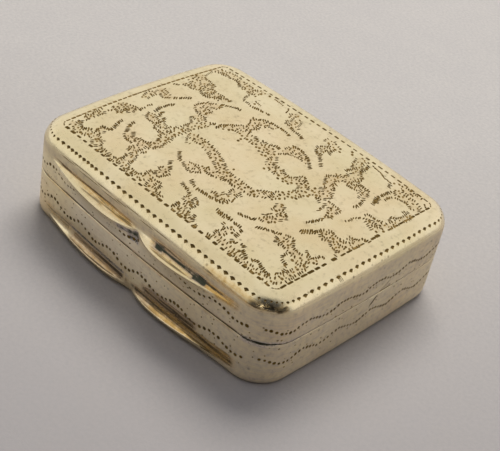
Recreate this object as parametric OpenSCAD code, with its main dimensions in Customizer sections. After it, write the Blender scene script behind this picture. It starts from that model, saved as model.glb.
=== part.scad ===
// Silver vinaigrette: a small hinged box with an engraved lid, a pierced inner grille and a sponge.
// Millimetres. +X along the length, +Y to the hinge side, +Z up. Origin at the centre of the resting face.

/* [Box] */
// Length between the ends of the long sides, without the bow
body_len = 32; // [28:0.5:40]
// Width between the ends of the short sides, without the bow
body_wid = 25.1; // [22:0.1:30]
// Height of the base up to the middle of the seam
base_h = 4.85; // [4.7:0.05:7]
// Height of the lid from the middle of the seam to its flat border
lid_h = 4.5; // [4.4:0.05:7]
// Gap between the lid's edge and the base's edge
seam_gap = 0.1; // [0.06:0.01:0.2]
// Radius of the vertical corners
corner_r = 3.2; // [3.05:0.05:4.5]
// Outward bow of each side at its middle
side_bow = 0.3; // [0:0.05:0.6]
// Rise of the lid's border at the middle of each side; the panel's middle rises twice as much
dome_rise = 0.29; // [0:0.01:0.4]
// Radius of the lid's rolled upper edge
edge_r = 1.62; // [1.2:0.02:1.64]
// Radius of the base's lower edge
foot_r = 0.6; // [0.4:0.05:0.8]
// Width of the border around the lid panel and the bottom plate
border_w = 2.04; // [1.75:0.01:2.2]

/* [Walls] */
// Thickness of the lid's side strip
lid_wall = 0.5; // [0.4:0.05:0.6]
// Clearance between the bezel and the inside of the lid
bezel_clear = 0.1; // [0.07:0.01:0.2]
// Thickness of the lid panel and of the flange under it
lid_plate_t = 0.45; // [0.35:0.05:0.5]
// Thickness of the bottom plate and of the flange over it
bottom_t = 0.45; // [0.35:0.05:0.5]
// Width of the flange that carries each plate
flange_w = 0.7; // [0.5:0.05:0.8]

/* [Front lips] */
// Reach of the lid's two lobes beyond the bowed side
lid_lip_out = 0.9; // [0.3:0.05:1.3]
// Height of the lid's lobes above the seam
lid_lip_up = 2.15; // [1.7:0.05:2.2]
// Reach of the base's two lobes beyond the bowed side
base_lip_out = 0.7; // [0.3:0.05:1.1]
// Height of the base's lobes above the resting face
base_lip_up = 0.75; // [0.65:0.05:0.9]
// Rise of both lips at the middle notch and at the ends
lip_rise = 0.3; // [0.1:0.05:0.4]
// Distance of each lobe's fullest point from the middle
lobe_peak = 4.3; // [3:0.1:6]
// Distance of each lobe's end from the middle
lobe_end = 12.4; // [9:0.1:12.6]
// Extra bow of the front along the seam
front_bow = 0.27; // [0:0.01:0.5]

/* [Lid hinge] */
// Length of the row of knuckles
hinge_len = 18; // [14:0.5:19]
// Outer radius of the knuckles
knuckle_r = 0.75; // [0.65:0.01:0.85]
// Radius of the hinge wire
pin_r = 0.38; // [0.25:0.01:0.45]
// Radial clearance of the lid's knuckles on the wire
pin_clear = 0.04; // [0.02:0.01:0.08]
// Clearance between neighbouring knuckles, and around a knuckle in the other half's groove
knuckle_gap = 0.06; // [0.04:0.01:0.12]
// Distance of the hinge axis behind the bowed back wall
hinge_out = 0.15; // [0.1:0.01:0.25]
// Depth of the two bearers from the wall inwards
bearer_d = 0.75; // [0.6:0.05:0.9]
// Height of each bearer
bearer_h = 1.5; // [1.2:0.05:1.8]

/* [Bezel, grille and sponge] */
// Thickness of the bezel
bezel_t = 0.4; // [0.3:0.05:0.5]
// Height of the bezel above the seam
bezel_up = 1.15; // [0.8:0.05:1.4]
// Thickness of the grille
grille_t = 0.4; // [0.3:0.05:0.5]
// Depth of the grille's upper face below the seam
grille_down = 0.35; // [0.3:0.05:0.45]
// Gap between the grille and the bezel
grille_gap = 0.15; // [0.1:0.01:0.3]
// Gap between the grille and the ledges under it
ledge_gap = 0.05; // [0.04:0.01:0.1]
// Width of the ledges
ledge_w = 0.7; // [0.5:0.05:0.9]
// Thickness of the ledges
ledge_t = 0.5; // [0.35:0.05:0.5]
// Outer radius of the grille's knuckle and lugs
lug_r = 0.55; // [0.5:0.01:0.6]
// Radius of the grille's hinge wire
lug_pin_r = 0.25; // [0.18:0.01:0.3]
// Length of the grille's knuckle
lug_mid = 6; // [4:0.5:8]
// Length of each lug
lug_len = 2.2; // [1.5:0.1:3]
// Height of the sponge
sponge_h = 2.9; // [2:0.1:3]

/* [Hidden] */
$fn = 48;
hx = body_len / 2;
hy = body_wid / 2;
core_x = hx - corner_r;
core_y = hy - corner_r;
base_wall = lid_wall + bezel_clear;
seam_z = base_h;
base_top = seam_z - seam_gap / 2;
lid_bot = seam_z + seam_gap / 2;
top_z = seam_z + lid_h;
flange_in = border_w + flange_w;
plate_fit = 0.02;
seat_fit = 0.01;
axis_y = hy + side_bow + hinge_out;
groove_r = knuckle_r + knuckle_gap;
knuckle_pitch = hinge_len / 5;
knuckle_len = knuckle_pitch - knuckle_gap;
pin_fit = 0.01;
grille_top = seam_z - grille_down;
grille_bot = grille_top - grille_t;
grille_axis_z = grille_top - grille_t / 2;
ledge_top = grille_bot - ledge_gap;
bearer_face = hy - lid_wall - bearer_d;
grille_axis_y = bearer_face - lug_r - 0.3;
lug_gap = 0.06;
SILVER = [0.84, 0.80, 0.68];
GILT = [0.86, 0.68, 0.32];
STEEL = [0.70, 0.70, 0.70];
SPONGE = [0.62, 0.47, 0.28];

// Outline columns: a point on the core rectangle and the outward direction there
function lerp(a, b, t) = a + (b - a) * t;
function bent(u) = sign(u) * pow(abs(u), 1.35);
FRONT_N = 44;
SIDE_N = 6;
BACK_N = 10;
ARC_N = 6;
function arc_cols(cx, cy, a0) = [for (k = [1 : ARC_N - 1])
  [[cx, cy], [cos(a0 + 90 * k / ARC_N), sin(a0 + 90 * k / ARC_N)]]];
COLS = concat(
  [for (k = [0 : FRONT_N]) [[core_x * bent(2 * k / FRONT_N - 1), -core_y], [0, -1]]],
  arc_cols(core_x, -core_y, 270),
  [for (k = [0 : SIDE_N]) [[core_x, core_y * (2 * k / SIDE_N - 1)], [1, 0]]],
  arc_cols(core_x, core_y, 0),
  [for (k = [0 : BACK_N]) [[core_x * (1 - 2 * k / BACK_N), core_y], [0, 1]]],
  arc_cols(-core_x, core_y, 90),
  [for (k = [0 : SIDE_N]) [[-core_x, core_y * (1 - 2 * k / SIDE_N)], [-1, 0]]],
  arc_cols(-core_x, -core_y, 180));
COL_N = len(COLS);

// The sides bow outwards a little, most at their middles
function bowed(p) = [
  p[0] * (1 + side_bow / hx * (1 - pow(p[1] / hy, 2))),
  p[1] * (1 + side_bow / hy * (1 - pow(p[0] / hx, 2)))];
function col_at(c, inset) = bowed(c[0] + c[1] * (corner_r - inset));
function outline(inset) = [for (c = COLS) col_at(c, inset)];

// The lid is domed: its border is highest at the middle of each side
function arch(p) = dome_rise * (max(0, 1 - pow(p[0] / hx, 2)) + max(0, 1 - pow(p[1] / hy, 2)));
function above_cove(z) = min(1, max(0, (z - seam_z - 2.6) / (lid_h - edge_r - 2.5)));

// Front lips: 0 to 1 along the front, two lobes with a notch between them
function is_front(c) = c[1][1] < -0.999 && abs(c[0][0]) < core_x - 0.001;
function lobe_in(a) = 1 - 0.95 * pow(1 - a / lobe_peak, 2.6);
function lobe_out(a) = pow(cos(90 * (a - lobe_peak) / (lobe_end - lobe_peak)), 1.4);
function lobe_at(a) = a < lobe_peak ? lobe_in(a) : a < lobe_end ? lobe_out(a) : 0;
function lobe(c) = is_front(c) ? lobe_at(abs(c[0][0])) : 0;
function swell(c) = is_front(c) ? front_bow * (1 - pow(c[0][0] / core_x, 2)) : 0;

// Each profile point is [inset, height]; the profile runs up the outside and back down the inside
function lid_ridge(c) = seam_z + lid_lip_up + lip_rise * (1 - lobe(c));
function lid_flare(c, t) = [
  -lerp(swell(c), lid_lip_out * lobe(c), pow(t, 1.6)), lerp(lid_bot, lid_ridge(c) - 0.1, t)];
function lid_cove(c, t) = [
  -lid_lip_out * lobe(c) * (1 - sin(90 * t)),
  lerp(lid_ridge(c), seam_z + 2.82, 1 - cos(90 * t))];
function lid_edge(a) = [edge_r * (1 - cos(a)), top_z - edge_r * (1 - sin(a))];
function lid_inner(a) = [
  lerp(edge_r, lid_wall, sin(a)),
  lerp(top_z - edge_r - 0.2, top_z - 2 * lid_plate_t, cos(a))];
function lid_profile(c) = concat(
  [for (t = [0, 0.35, 0.7, 1]) lid_flare(c, t)],
  [for (t = [0, 0.2, 0.4, 0.6, 0.8, 1]) lid_cove(c, t)],
  [for (a = [0 : 15 : 90]) lid_edge(a)],
  [[border_w, top_z], [border_w, top_z - lid_plate_t - seat_fit],
    [flange_in, top_z - lid_plate_t - seat_fit], [flange_in, top_z - 2 * lid_plate_t]],
  [for (a = [0 : 30 : 90]) lid_inner(a)],
  [[lid_wall, lid_bot]]);

function base_ridge(c) = base_lip_up + lip_rise * (1 - lobe(c));
function base_cove_top() = base_lip_up + 0.85;
function base_cove(c, t) = [
  -lerp(swell(c), base_lip_out * lobe(c), 1 - cos(90 * t)),
  lerp(base_cove_top(), base_ridge(c), sin(90 * t))];
function base_foot(c, a) = [
  lerp(foot_r, -base_lip_out * lobe(c), cos(a)), (base_ridge(c) - 0.1) * (1 - sin(a))];
function base_profile(c) = concat(
  [[base_wall, base_top], [base_wall, 2 * bottom_t], [flange_in, 2 * bottom_t], [flange_in, bottom_t],
    [border_w, bottom_t], [border_w, 0]],
  [for (a = [90 : -22.5 : 0]) base_foot(c, a)],
  [for (t = [1, 0.75, 0.5, 0.25, 0]) base_cove(c, t)],
  [[-swell(c), base_top]]);

// A closed ring swept along the outline with a profile that may change on the way
module swept(profiles, domed) {
  n = len(profiles[0]);
  pts = [for (i = [0 : COL_N - 1]) for (q = profiles[i])
    let (p = col_at(COLS[i], q[0]))
    concat(p, q[1] + (domed ? arch(p) * above_cove(q[1]) : 0))];
  tris = [for (i = [0 : COL_N - 1]) for (j = [0 : n - 1])
    let (a = i * n + j, b = ((i + 1) % COL_N) * n + j)
    let (d = i * n + (j + 1) % n, e = ((i + 1) % COL_N) * n + (j + 1) % n)
    each [[a, d, e], [a, e, b]]];
  polyhedron(points = pts, faces = tris, convexity = 8);
}

module along_x(r, x0, x1) {
  translate([x0, 0, 0])
    rotate([0, 90, 0])
      cylinder(r = r, h = x1 - x0);
}

module at_axis() {
  translate([0, axis_y, seam_z])
    children();
}

// Knuckle k of five, counted from the left
function knuckle_x(k) = -hinge_len / 2 + k * knuckle_pitch + knuckle_gap / 2;

module knuckle(k, bore) {
  at_axis()
    difference() {
      along_x(knuckle_r, knuckle_x(k), knuckle_x(k) + knuckle_len);
      along_x(bore, knuckle_x(k) - 1, knuckle_x(k) + knuckle_len + 1);
    }
}

// Seats for a half's own knuckles, and wider clearances for the other half's
module groove(own, other) {
  at_axis() {
    for (k = own)
      along_x(knuckle_r, knuckle_x(k), knuckle_x(k) + knuckle_len);
    for (k = other)
      along_x(groove_r, knuckle_x(k) - knuckle_gap, knuckle_x(k) + knuckle_len + knuckle_gap);
  }
}

module bearer_block(z0, z1) {
  translate([0, 0, z0])
    linear_extrude(z1 - z0)
      intersection() {
        polygon(outline(lid_wall));
        translate([-hinge_len / 2 - 0.3, bearer_face])
          square([hinge_len + 0.6, 4]);
      }
}

module base_bearer_block() {
  translate([0, 0, base_top - bearer_h])
    linear_extrude(bearer_h)
      intersection() {
        polygon(outline(base_wall));
        translate([-hinge_len / 2 - 0.3, bearer_face])
          square([hinge_len + 0.6, 4]);
      }
}

// Lid
module lid_band() {
  color(SILVER)
    difference() {
      swept([for (c = COLS) lid_profile(c)], true);
      groove([1, 3], [0, 2, 4]);
    }
}

PLATE_S = [1, 0.92, 0.78, 0.58, 0.3];
module lid_top_plate() {
  edge = outline(border_w + plate_fit);
  m = len(PLATE_S);
  upper = [for (s = PLATE_S) for (p = edge) [p[0] * s, p[1] * s, top_z + arch(p * s)]];
  lower = [for (s = PLATE_S) for (p = edge) [p[0] * s, p[1] * s, top_z - lid_plate_t + arch(p * s)]];
  pts = concat(upper, lower, [[0, 0, top_z + arch([0, 0])], [0, 0, top_z - lid_plate_t + arch([0, 0])]]);
  low = m * COL_N;
  tip = 2 * m * COL_N;
  tris = [for (i = [0 : COL_N - 1])
    let (j = (i + 1) % COL_N)
    each concat(
      [for (k = [0 : m - 2]) each [
        [k * COL_N + i, (k + 1) * COL_N + i, (k + 1) * COL_N + j],
        [k * COL_N + i, (k + 1) * COL_N + j, k * COL_N + j],
        [low + k * COL_N + i, low + (k + 1) * COL_N + j, low + (k + 1) * COL_N + i],
        [low + k * COL_N + i, low + k * COL_N + j, low + (k + 1) * COL_N + j]]],
      [[(m - 1) * COL_N + i, tip, (m - 1) * COL_N + j],
        [low + (m - 1) * COL_N + i, low + (m - 1) * COL_N + j, tip + 1],
        [i, j, low + j],
        [i, low + j, low + i]])];
  color(SILVER)
    polyhedron(points = pts, faces = tris, convexity = 4);
}

module lid_hinge_bearer() {
  color(SILVER)
    difference() {
      bearer_block(lid_bot, lid_bot + bearer_h);
      groove([1, 3], [0, 2, 4]);
    }
}

module lid_knuckle_left() {
  color(SILVER)
    knuckle(1, pin_r + pin_clear);
}

module lid_knuckle_right() {
  color(SILVER)
    knuckle(3, pin_r + pin_clear);
}

// Base
module base_band() {
  color(SILVER)
    difference() {
      swept([for (c = COLS) base_profile(c)], false);
      groove([0, 2, 4], [1, 3]);
    }
}

module base_bottom_plate() {
  color(SILVER)
    linear_extrude(bottom_t)
      polygon(outline(border_w + plate_fit));
}

module base_hinge_bearer() {
  color(SILVER)
    difference() {
      base_bearer_block();
      groove([0, 2, 4], [1, 3]);
    }
}

module base_knuckle_left() {
  color(SILVER)
    knuckle(0, pin_r + pin_fit);
}

module base_knuckle_center() {
  color(SILVER)
    knuckle(2, pin_r + pin_fit);
}

module base_knuckle_right() {
  color(SILVER)
    knuckle(4, pin_r + pin_fit);
}

module hinge_pin() {
  color(STEEL)
    at_axis()
      along_x(pin_r, -hinge_len / 2, hinge_len / 2);
}

// The bezel runs along the front and both short sides and stops at the back corners
module bezel() {
  color(GILT)
    translate([0, 0, ledge_top - ledge_t])
      linear_extrude(seam_z + bezel_up - ledge_top + ledge_t)
        difference() {
          polygon(outline(base_wall));
          polygon(outline(base_wall + bezel_t));
          translate([-body_len, core_y])
            square([2 * body_len, body_wid]);
        }
}

module ledge_ring() {
  difference() {
    polygon(outline(base_wall + bezel_t));
    polygon(outline(base_wall + bezel_t + ledge_w));
  }
}

module ledge(x0, x1, y0, y1) {
  translate([0, 0, ledge_top - ledge_t])
    linear_extrude(ledge_t)
      intersection() {
        ledge_ring();
        translate([x0, y0])
          square([x1 - x0, y1 - y0]);
      }
}

module grille_ledge_left() {
  color(GILT)
    ledge(-body_len, -core_x, -core_y + 0.4, core_y - 0.4);
}

module grille_ledge_right() {
  color(GILT)
    ledge(core_x, body_len, -core_y + 0.4, core_y - 0.4);
}

module grille_ledge_front() {
  color(GILT)
    ledge(-core_x + 0.4, core_x - 0.4, -body_wid, -core_y);
}

// Grille, pierced with a rosette, leaf sprays and rows of round holes
module grille_axis() {
  translate([0, grille_axis_y, grille_axis_z])
    children();
}

module leaf_hole(len, wid) {
  r = (len * len / 4 + wid * wid / 4) / wid;
  intersection() {
    translate([r - wid / 2, 0])
      circle(r = r, $fn = 96);
    translate([-r + wid / 2, 0])
      circle(r = r, $fn = 96);
  }
}

module spray(n, r0, len, wid, a0) {
  for (k = [0 : n - 1])
    rotate(a0 + 360 * k / n)
      translate([0, r0])
        leaf_hole(len, wid);
}

module grille_holes() {
  circle(r = 0.6);
  spray(8, 2.2, 2.2, 0.95, 0);
  spray(8, 3.9, 1.0, 0.5, 22.5);
  for (sx = [-1, 1]) {
    translate([sx * 8.6, 0]) {
      circle(r = 0.45);
      spray(6, 1.7, 1.7, 0.8, 30);
      spray(6, 2.9, 0.9, 0.5, 0);
    }
    for (sy = [-1, 1]) {
      translate([sx * 4.4, sy * 6.2]) {
        circle(r = 0.4);
        spray(6, 1.45, 1.5, 0.7, 0);
      }
      translate([sx * 10.6, sy * 6.0]) {
        circle(r = 0.35);
        spray(5, 1.25, 1.25, 0.65, sy > 0 ? 0 : 180);
      }
    }
  }
  for (sy = [-1, 1]) {
    for (k = [-1, 0, 1])
      translate([k * 1.5, sy * (6.3 + (k == 0 ? 0.7 : 0))])
        circle(r = 0.38);
    for (k = [-5 : 5])
      translate([k * 2.3, sy * 8.7])
        circle(r = 0.3);
  }
  for (sx = [-1, 1])
    for (k = [-3 : 3])
      translate([sx * 12.9, k * 2.1])
        circle(r = 0.3);
}

grille_mid_y = (grille_axis_y - lug_r - hy + base_wall + bezel_t + grille_gap - side_bow) / 2;
hole_scale = min(1, (core_y + 1.15) / 10.5, hx / 16);
module grille_plate() {
  color(GILT)
    difference() {
      translate([0, 0, grille_bot])
        linear_extrude(grille_t)
          difference() {
            polygon(outline(base_wall + bezel_t + grille_gap));
            translate([-body_len, grille_axis_y - lug_r + 0.2])
              square([2 * body_len, body_wid]);
            for (sx = [-1, 1])
              translate([sx * body_len + sx * (lug_mid / 2 + lug_len + 0.4), grille_axis_y])
                square([2 * body_len, 2 * lug_r], center = true);
            translate([0, -hy + base_wall + bezel_t - side_bow])
              circle(r = 1.1);
            translate([0, grille_mid_y])
              scale(hole_scale)
                grille_holes();
          }
      grille_axis() {
        along_x(lug_r, -lug_mid / 2, lug_mid / 2);
        along_x(lug_r + 0.08, lug_mid / 2, lug_mid / 2 + lug_len + 0.4);
        along_x(lug_r + 0.08, -lug_mid / 2 - lug_len - 0.4, -lug_mid / 2);
      }
    }
}

module grille_knuckle() {
  color(GILT)
    grille_axis()
      difference() {
        along_x(lug_r, -lug_mid / 2, lug_mid / 2);
        along_x(lug_pin_r + pin_clear, -lug_mid, lug_mid);
      }
}

// A lug is a tube on a small block that is fixed to the bearer
module lug(x0) {
  color(GILT)
    grille_axis()
      difference() {
        union() {
          along_x(lug_r, x0, x0 + lug_len);
          translate([x0, 0, -lug_r])
            cube([lug_len, bearer_face - grille_axis_y, lug_r + 0.25]);
        }
        along_x(lug_pin_r + pin_fit, x0 - 1, x0 + lug_len + 1);
      }
}

module grille_lug_left() {
  lug(-lug_mid / 2 - lug_gap - lug_len);
}

module grille_lug_right() {
  lug(lug_mid / 2 + lug_gap);
}

module grille_pin() {
  color(STEEL)
    grille_axis()
      along_x(lug_pin_r, -lug_mid / 2 - lug_gap - lug_len, lug_mid / 2 + lug_gap + lug_len);
}

sponge_x = hx - flange_in - 0.3;
sponge_y0 = -hy + flange_in + 0.3;
sponge_y1 = min(hy - flange_in - 0.3, grille_axis_y - lug_r - 0.4);
sponge_r = 1.2;
module sponge() {
  color(SPONGE)
    translate([0, 0, bottom_t])
      linear_extrude(sponge_h)
        union() {
          translate([-sponge_x + sponge_r, sponge_y0])
            square([2 * (sponge_x - sponge_r), sponge_y1 - sponge_y0]);
          translate([-sponge_x, sponge_y0 + sponge_r])
            square([2 * sponge_x, sponge_y1 - sponge_y0 - 2 * sponge_r]);
          for (sx = [-1, 1])
            for (y = [sponge_y0 + sponge_r, sponge_y1 - sponge_r])
              translate([sx * (sponge_x - sponge_r), y])
                circle(r = sponge_r);
        }
}

lid_band();
lid_top_plate();
lid_hinge_bearer();
lid_knuckle_left();
lid_knuckle_right();
base_band();
base_bottom_plate();
base_hinge_bearer();
bezel();
base_knuckle_left();
base_knuckle_center();
base_knuckle_right();
hinge_pin();
grille_plate();
grille_knuckle();
grille_lug_left();
grille_lug_right();
grille_pin();
grille_ledge_left();
grille_ledge_right();
grille_ledge_front();
sponge();
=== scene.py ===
import math
import random

import bpy
import numpy as np
from mathutils import Matrix, Vector, noise
from mathutils.geometry import delaunay_2d_cdt


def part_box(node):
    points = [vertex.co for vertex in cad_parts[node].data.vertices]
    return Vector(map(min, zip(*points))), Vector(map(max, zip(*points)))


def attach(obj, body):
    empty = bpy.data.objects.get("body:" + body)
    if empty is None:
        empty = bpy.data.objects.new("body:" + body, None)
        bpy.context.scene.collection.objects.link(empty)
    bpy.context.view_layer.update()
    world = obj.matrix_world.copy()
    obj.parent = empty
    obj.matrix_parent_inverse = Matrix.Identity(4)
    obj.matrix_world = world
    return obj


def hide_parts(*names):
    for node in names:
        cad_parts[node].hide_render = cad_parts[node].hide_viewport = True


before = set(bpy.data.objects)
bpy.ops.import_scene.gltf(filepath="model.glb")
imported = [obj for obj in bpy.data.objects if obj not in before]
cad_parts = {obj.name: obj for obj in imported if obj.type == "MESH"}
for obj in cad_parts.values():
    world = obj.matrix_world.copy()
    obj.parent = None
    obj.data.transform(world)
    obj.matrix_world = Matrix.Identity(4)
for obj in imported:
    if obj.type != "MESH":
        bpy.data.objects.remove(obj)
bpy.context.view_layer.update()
MM = 0.001
QUARTER = math.pi / 2
rng = random.Random(7)

# Camera at the photograph's angle: places in millimetres, turn in degrees
EYE, AIM = Vector((56.038, -69.717, 69.84)), Vector((3.029, -1.510, 4.94))
ROLL, SENSOR, LENS = -12.138, 36.0, 83.91


def make_camera():
    ahead = (AIM - EYE).normalized()
    level = ahead.cross(Vector((0, 0, 1))).normalized()
    roll = math.radians(ROLL)
    up = level * math.sin(roll) + level.cross(ahead) * math.cos(roll)
    cam = bpy.data.objects.new("camera", bpy.data.cameras.new("camera"))
    bpy.context.scene.collection.objects.link(cam)
    cam.data.sensor_width = SENSOR
    cam.data.lens = LENS
    cam.data.clip_start = 0.005
    cam.data.clip_end = 20.0
    turn = Matrix((ahead.cross(up), up, -ahead)).transposed()
    cam.matrix_world = Matrix.Translation(EYE * MM) @ turn.to_4x4()
    bpy.context.scene.camera = cam


make_camera()

# Box sizes in millimetres, as in the part's source
HX, HY, RC, BOW, DOME = 16.0, 12.55, 3.2, 0.3, 0.29
CX, CY = HX - RC, HY - RC
SEAM, TOP, EDGE_R, FOOT_R = 4.85, 9.35, 1.62, 0.6
LID_BOT, BASE_TOP, HALF_GAP = 4.90, 4.80, 0.05
LID_OUT, LID_UP, BASE_OUT, BASE_UP, LIP_RISE = 0.9, 2.15, 0.7, 0.75, 0.3
LOBE_END, FRONT_BOW, LIP_T = 12.4, 0.27, 0.1
FLARE_TOP, DOME_FROM, DOME_OVER = SEAM + 2.82, SEAM + 2.6, 0.38
AXIS_Y, GROOVE_R, HINGE_HALF = 13.0, 0.79, 9.03
LID_WALL, BASE_WALL, FLOOR_T, PLATE_T = 0.5, 0.6, 0.9, 0.46
PANEL_IN, FOOT_IN, PLATE_IN = 1.72, 2.04, 2.74
ARC = RC * QUARTER

# Distance along the outline, from the middle of the back by way of the left side
BREAKS = np.cumsum([0, CX, ARC, 2 * CY, ARC, 2 * CX, ARC, 2 * CY, ARC, CX])
CORE_X = [0, -CX, -CX, -CX, -CX, CX, CX, CX, CX, 0]
CORE_Y = [CY, CY, CY, -CY, -CY, -CY, -CY, CY, CY, CY]
TURN = np.radians([90, 90, 180, 180, 270, 270, 360, 360, 450, 450])
LEN = float(BREAKS[-1])


def s_front(x):
    return BREAKS[4] + CX + x


def s_right(y):
    return BREAKS[6] + CY + y


def mixed(a, b, t):
    return a + (b - a) * t


def rise(v, lo, hi):
    """0 up to lo and 1 from hi on."""
    return np.clip((v - lo) / (hi - lo), 0, 1)


def within(v, lo, hi, edge):
    """1 between lo and hi, with soft edges."""
    return np.clip((v - lo) / edge + 0.5, 0, 1) * np.clip((hi - v) / edge + 0.5, 0, 1)


def unit(v):
    return v / np.maximum(np.linalg.norm(v, axis=-1, keepdims=True), 1e-12)


def bowed(x, y):
    return (x * (1 + BOW / HX * (1 - (y / HY) ** 2)), y * (1 + BOW / HY * (1 - (x / HX) ** 2)))


def plan(s, inset):
    a = np.interp(s, BREAKS, TURN)
    reach = RC - inset
    x = np.interp(s, BREAKS, CORE_X) + np.cos(a) * reach
    y = np.interp(s, BREAKS, CORE_Y) + np.sin(a) * reach
    return bowed(x, y)


def arch(x, y):
    return DOME * (np.maximum(0, 1 - (x / HX) ** 2) + np.maximum(0, 1 - (y / HY) ** 2))


# Two lobes on the front with a notch between them, the left one a little fuller
LOBE_PEAK, LOBE_FALL = (4.8, 3.9), (0.9, 1.55)
NOTCH_SOFT, NOTCH_DEEP, NOTCH_FALL = 0.01, 0.95, 2.6


def lobe(s):
    x = np.sqrt((s - s_front(0)) ** 2 + NOTCH_SOFT)
    left = s < s_front(0)
    peak = np.where(left, *LOBE_PEAK)
    near = 1 - NOTCH_DEEP * np.maximum(0, 1 - x / peak) ** NOTCH_FALL
    turn = np.clip((x - peak) / (LOBE_END - peak), 0, 1)
    return np.where(x < peak, near, np.cos(turn * QUARTER) ** np.where(left, *LOBE_FALL))


def swell(s):
    return FRONT_BOW * np.maximum(0, 1 - ((s - s_front(0)) / CX) ** 2)


# Outer profiles: inset and height for a place s along the outline and t along the profile
LID_T = [0, 2.2, 2.3, 3.2, 3.26, 3.26 + EDGE_R * QUARTER, 3.36 + EDGE_R * QUARTER]
BASE_T = [0, 3.2, 4.25, 4.35, 5.5, 6.94]
FLARE_BEND, EDGE_FLAT = 1.6, 0.1


def part_of(t, stops, k):
    return rise(t, stops[k], stops[k + 1])


def lid_ridge(s):
    return SEAM + LID_UP + LIP_RISE * (1 - lobe(s))


def lid_line(s, t):
    f = part_of(t, LID_T, 0)
    g = part_of(t, LID_T, 2) * QUARTER
    a = part_of(t, LID_T, 4) * QUARTER
    out = LID_OUT * lobe(s)
    ridge = lid_ridge(s)
    inset = -mixed(swell(s), out, f ** FLARE_BEND)
    z = mixed(LID_BOT, ridge - LIP_T, f) + LIP_T * part_of(t, LID_T, 1)
    inset = np.where(t > LID_T[2], -out * (1 - np.sin(g)), inset)
    z = np.where(t > LID_T[2], mixed(ridge, FLARE_TOP, 1 - np.cos(g)), z)
    z = np.where(t > LID_T[3], mixed(FLARE_TOP, TOP - EDGE_R, part_of(t, LID_T, 3)), z)
    inset = np.where(t > LID_T[4], EDGE_R * (1 - np.cos(a)) + EDGE_FLAT * part_of(t, LID_T, 5), inset)
    z = np.where(t > LID_T[4], TOP - EDGE_R * (1 - np.sin(a)), z)
    return inset, z


def base_line(s, t):
    out = BASE_OUT * lobe(s)
    ridge = BASE_UP + LIP_RISE * (1 - lobe(s))
    g = part_of(t, BASE_T, 1) * QUARTER
    a = part_of(t, BASE_T, 3) * QUARTER
    inset = -mixed(swell(s), out, 1 - np.cos(g))
    z = np.where(t < BASE_T[1], BASE_TOP - t, mixed(BASE_TOP - BASE_T[1], ridge, np.sin(g)))
    z = z - LIP_T * part_of(t, BASE_T, 2)
    inset = np.where(t > BASE_T[3], mixed(FOOT_R, -out, np.cos(a)), inset)
    z = np.where(t > BASE_T[3], (ridge - LIP_T) * (1 - np.sin(a)), z)
    return inset + (FOOT_IN - FOOT_R) * part_of(t, BASE_T, 4), z


# Edges are softened along the profile, and rounded at the seam
SOFTEN, SEAM_R = 0.09, 0.07


def solid_at(line, stops, domed, s, t):
    soft = np.clip(np.minimum(t, stops[-1] - t), 0, SOFTEN)
    lip = np.clip(SEAM_R - t, 0, SEAM_R)
    rounding = SEAM_R - np.sqrt(np.maximum(0, SEAM_R ** 2 - lip ** 2))
    place = 0
    for k, w in ((-2, 1), (-1, 2), (0, 3), (1, 2), (2, 1)):
        inset, z = line(s, t + soft * k / 2)
        x, y = plan(s, inset + rounding)
        if domed:
            z = z + arch(x, y) * np.clip((z - DOME_FROM) / DOME_OVER, 0, 1)
        place = place + np.stack([x, y, z], -1) * (w / 9)
    return place


def lid_at(s, t):
    return solid_at(lid_line, LID_T, True, s, t)


def base_at(s, t):
    return solid_at(base_line, BASE_T, False, s, t)


def panel_at(x, y):
    return np.stack([x, y, TOP + arch(x, y)], -1)


# Limits along a profile, for a flat that has none
NO_LIMITS = (-99, 99)


def normals_of(at, u, v, limits):
    e = 0.03
    lo, hi = np.maximum(v - e, limits[0]), np.minimum(v + e, limits[1])
    return unit(np.cross(at(u + e, v) - at(u - e, v), at(u, hi) - at(u, lo)))


# A surface with marks cut into it: real pits in one triangulated skin
MARK_GAP, RIM_TONE = 0.05, 0.85


def engrave(rim, grid, marks, holes=()):
    points, depth, tone, edges = [], [], [], []

    def add(shape, deep, dark):
        first = len(points)
        points.extend(shape)
        depth.extend([deep] * len(shape))
        tone.extend([dark] * len(shape))
        return range(first, len(points))

    grid = np.array(grid)
    keep = np.ones(len(grid), bool)
    faces = [list(add(rim, 0.0, 0.0))]
    solid = 1 + len(marks)
    for shape, low, deep, dark in marks + [(hole, [], 0.0, 0.0) for hole in holes]:
        box = np.array(shape)
        keep &= ~np.all((grid > box.min(0) - MARK_GAP) & (grid < box.max(0) + MARK_GAP), axis=1)
        faces.append(list(add(shape, 0.0, dark * RIM_TONE)))
        edges += [(k, k + 1) for k in add(low, deep, dark)[:-1]]
    add([tuple(p) for p in grid[keep]], 0.0, 0.0)
    found = delaunay_2d_cdt([Vector(p) for p in points], edges, faces, 1, 1e-6, True)
    uv = np.array([tuple(p) for p in found[0]])
    deep = np.array([max((depth[i] for i in ids), default=0.0) for ids in found[3]])
    dark = np.array([max((tone[i] for i in ids), default=0.5) for ids in found[3]])
    stay = [k for k, ids in enumerate(found[5]) if all(i < solid for i in ids)]
    return uv, deep, dark, np.array(found[2])[stay], np.array([len(found[5][k]) > 1 for k in stay])


# Material slots of a skin; the pit slot also takes the seam's faces, painted dark as shade
OUTSIDE, INSIDE, PLAIN, PIT = range(4)


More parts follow.
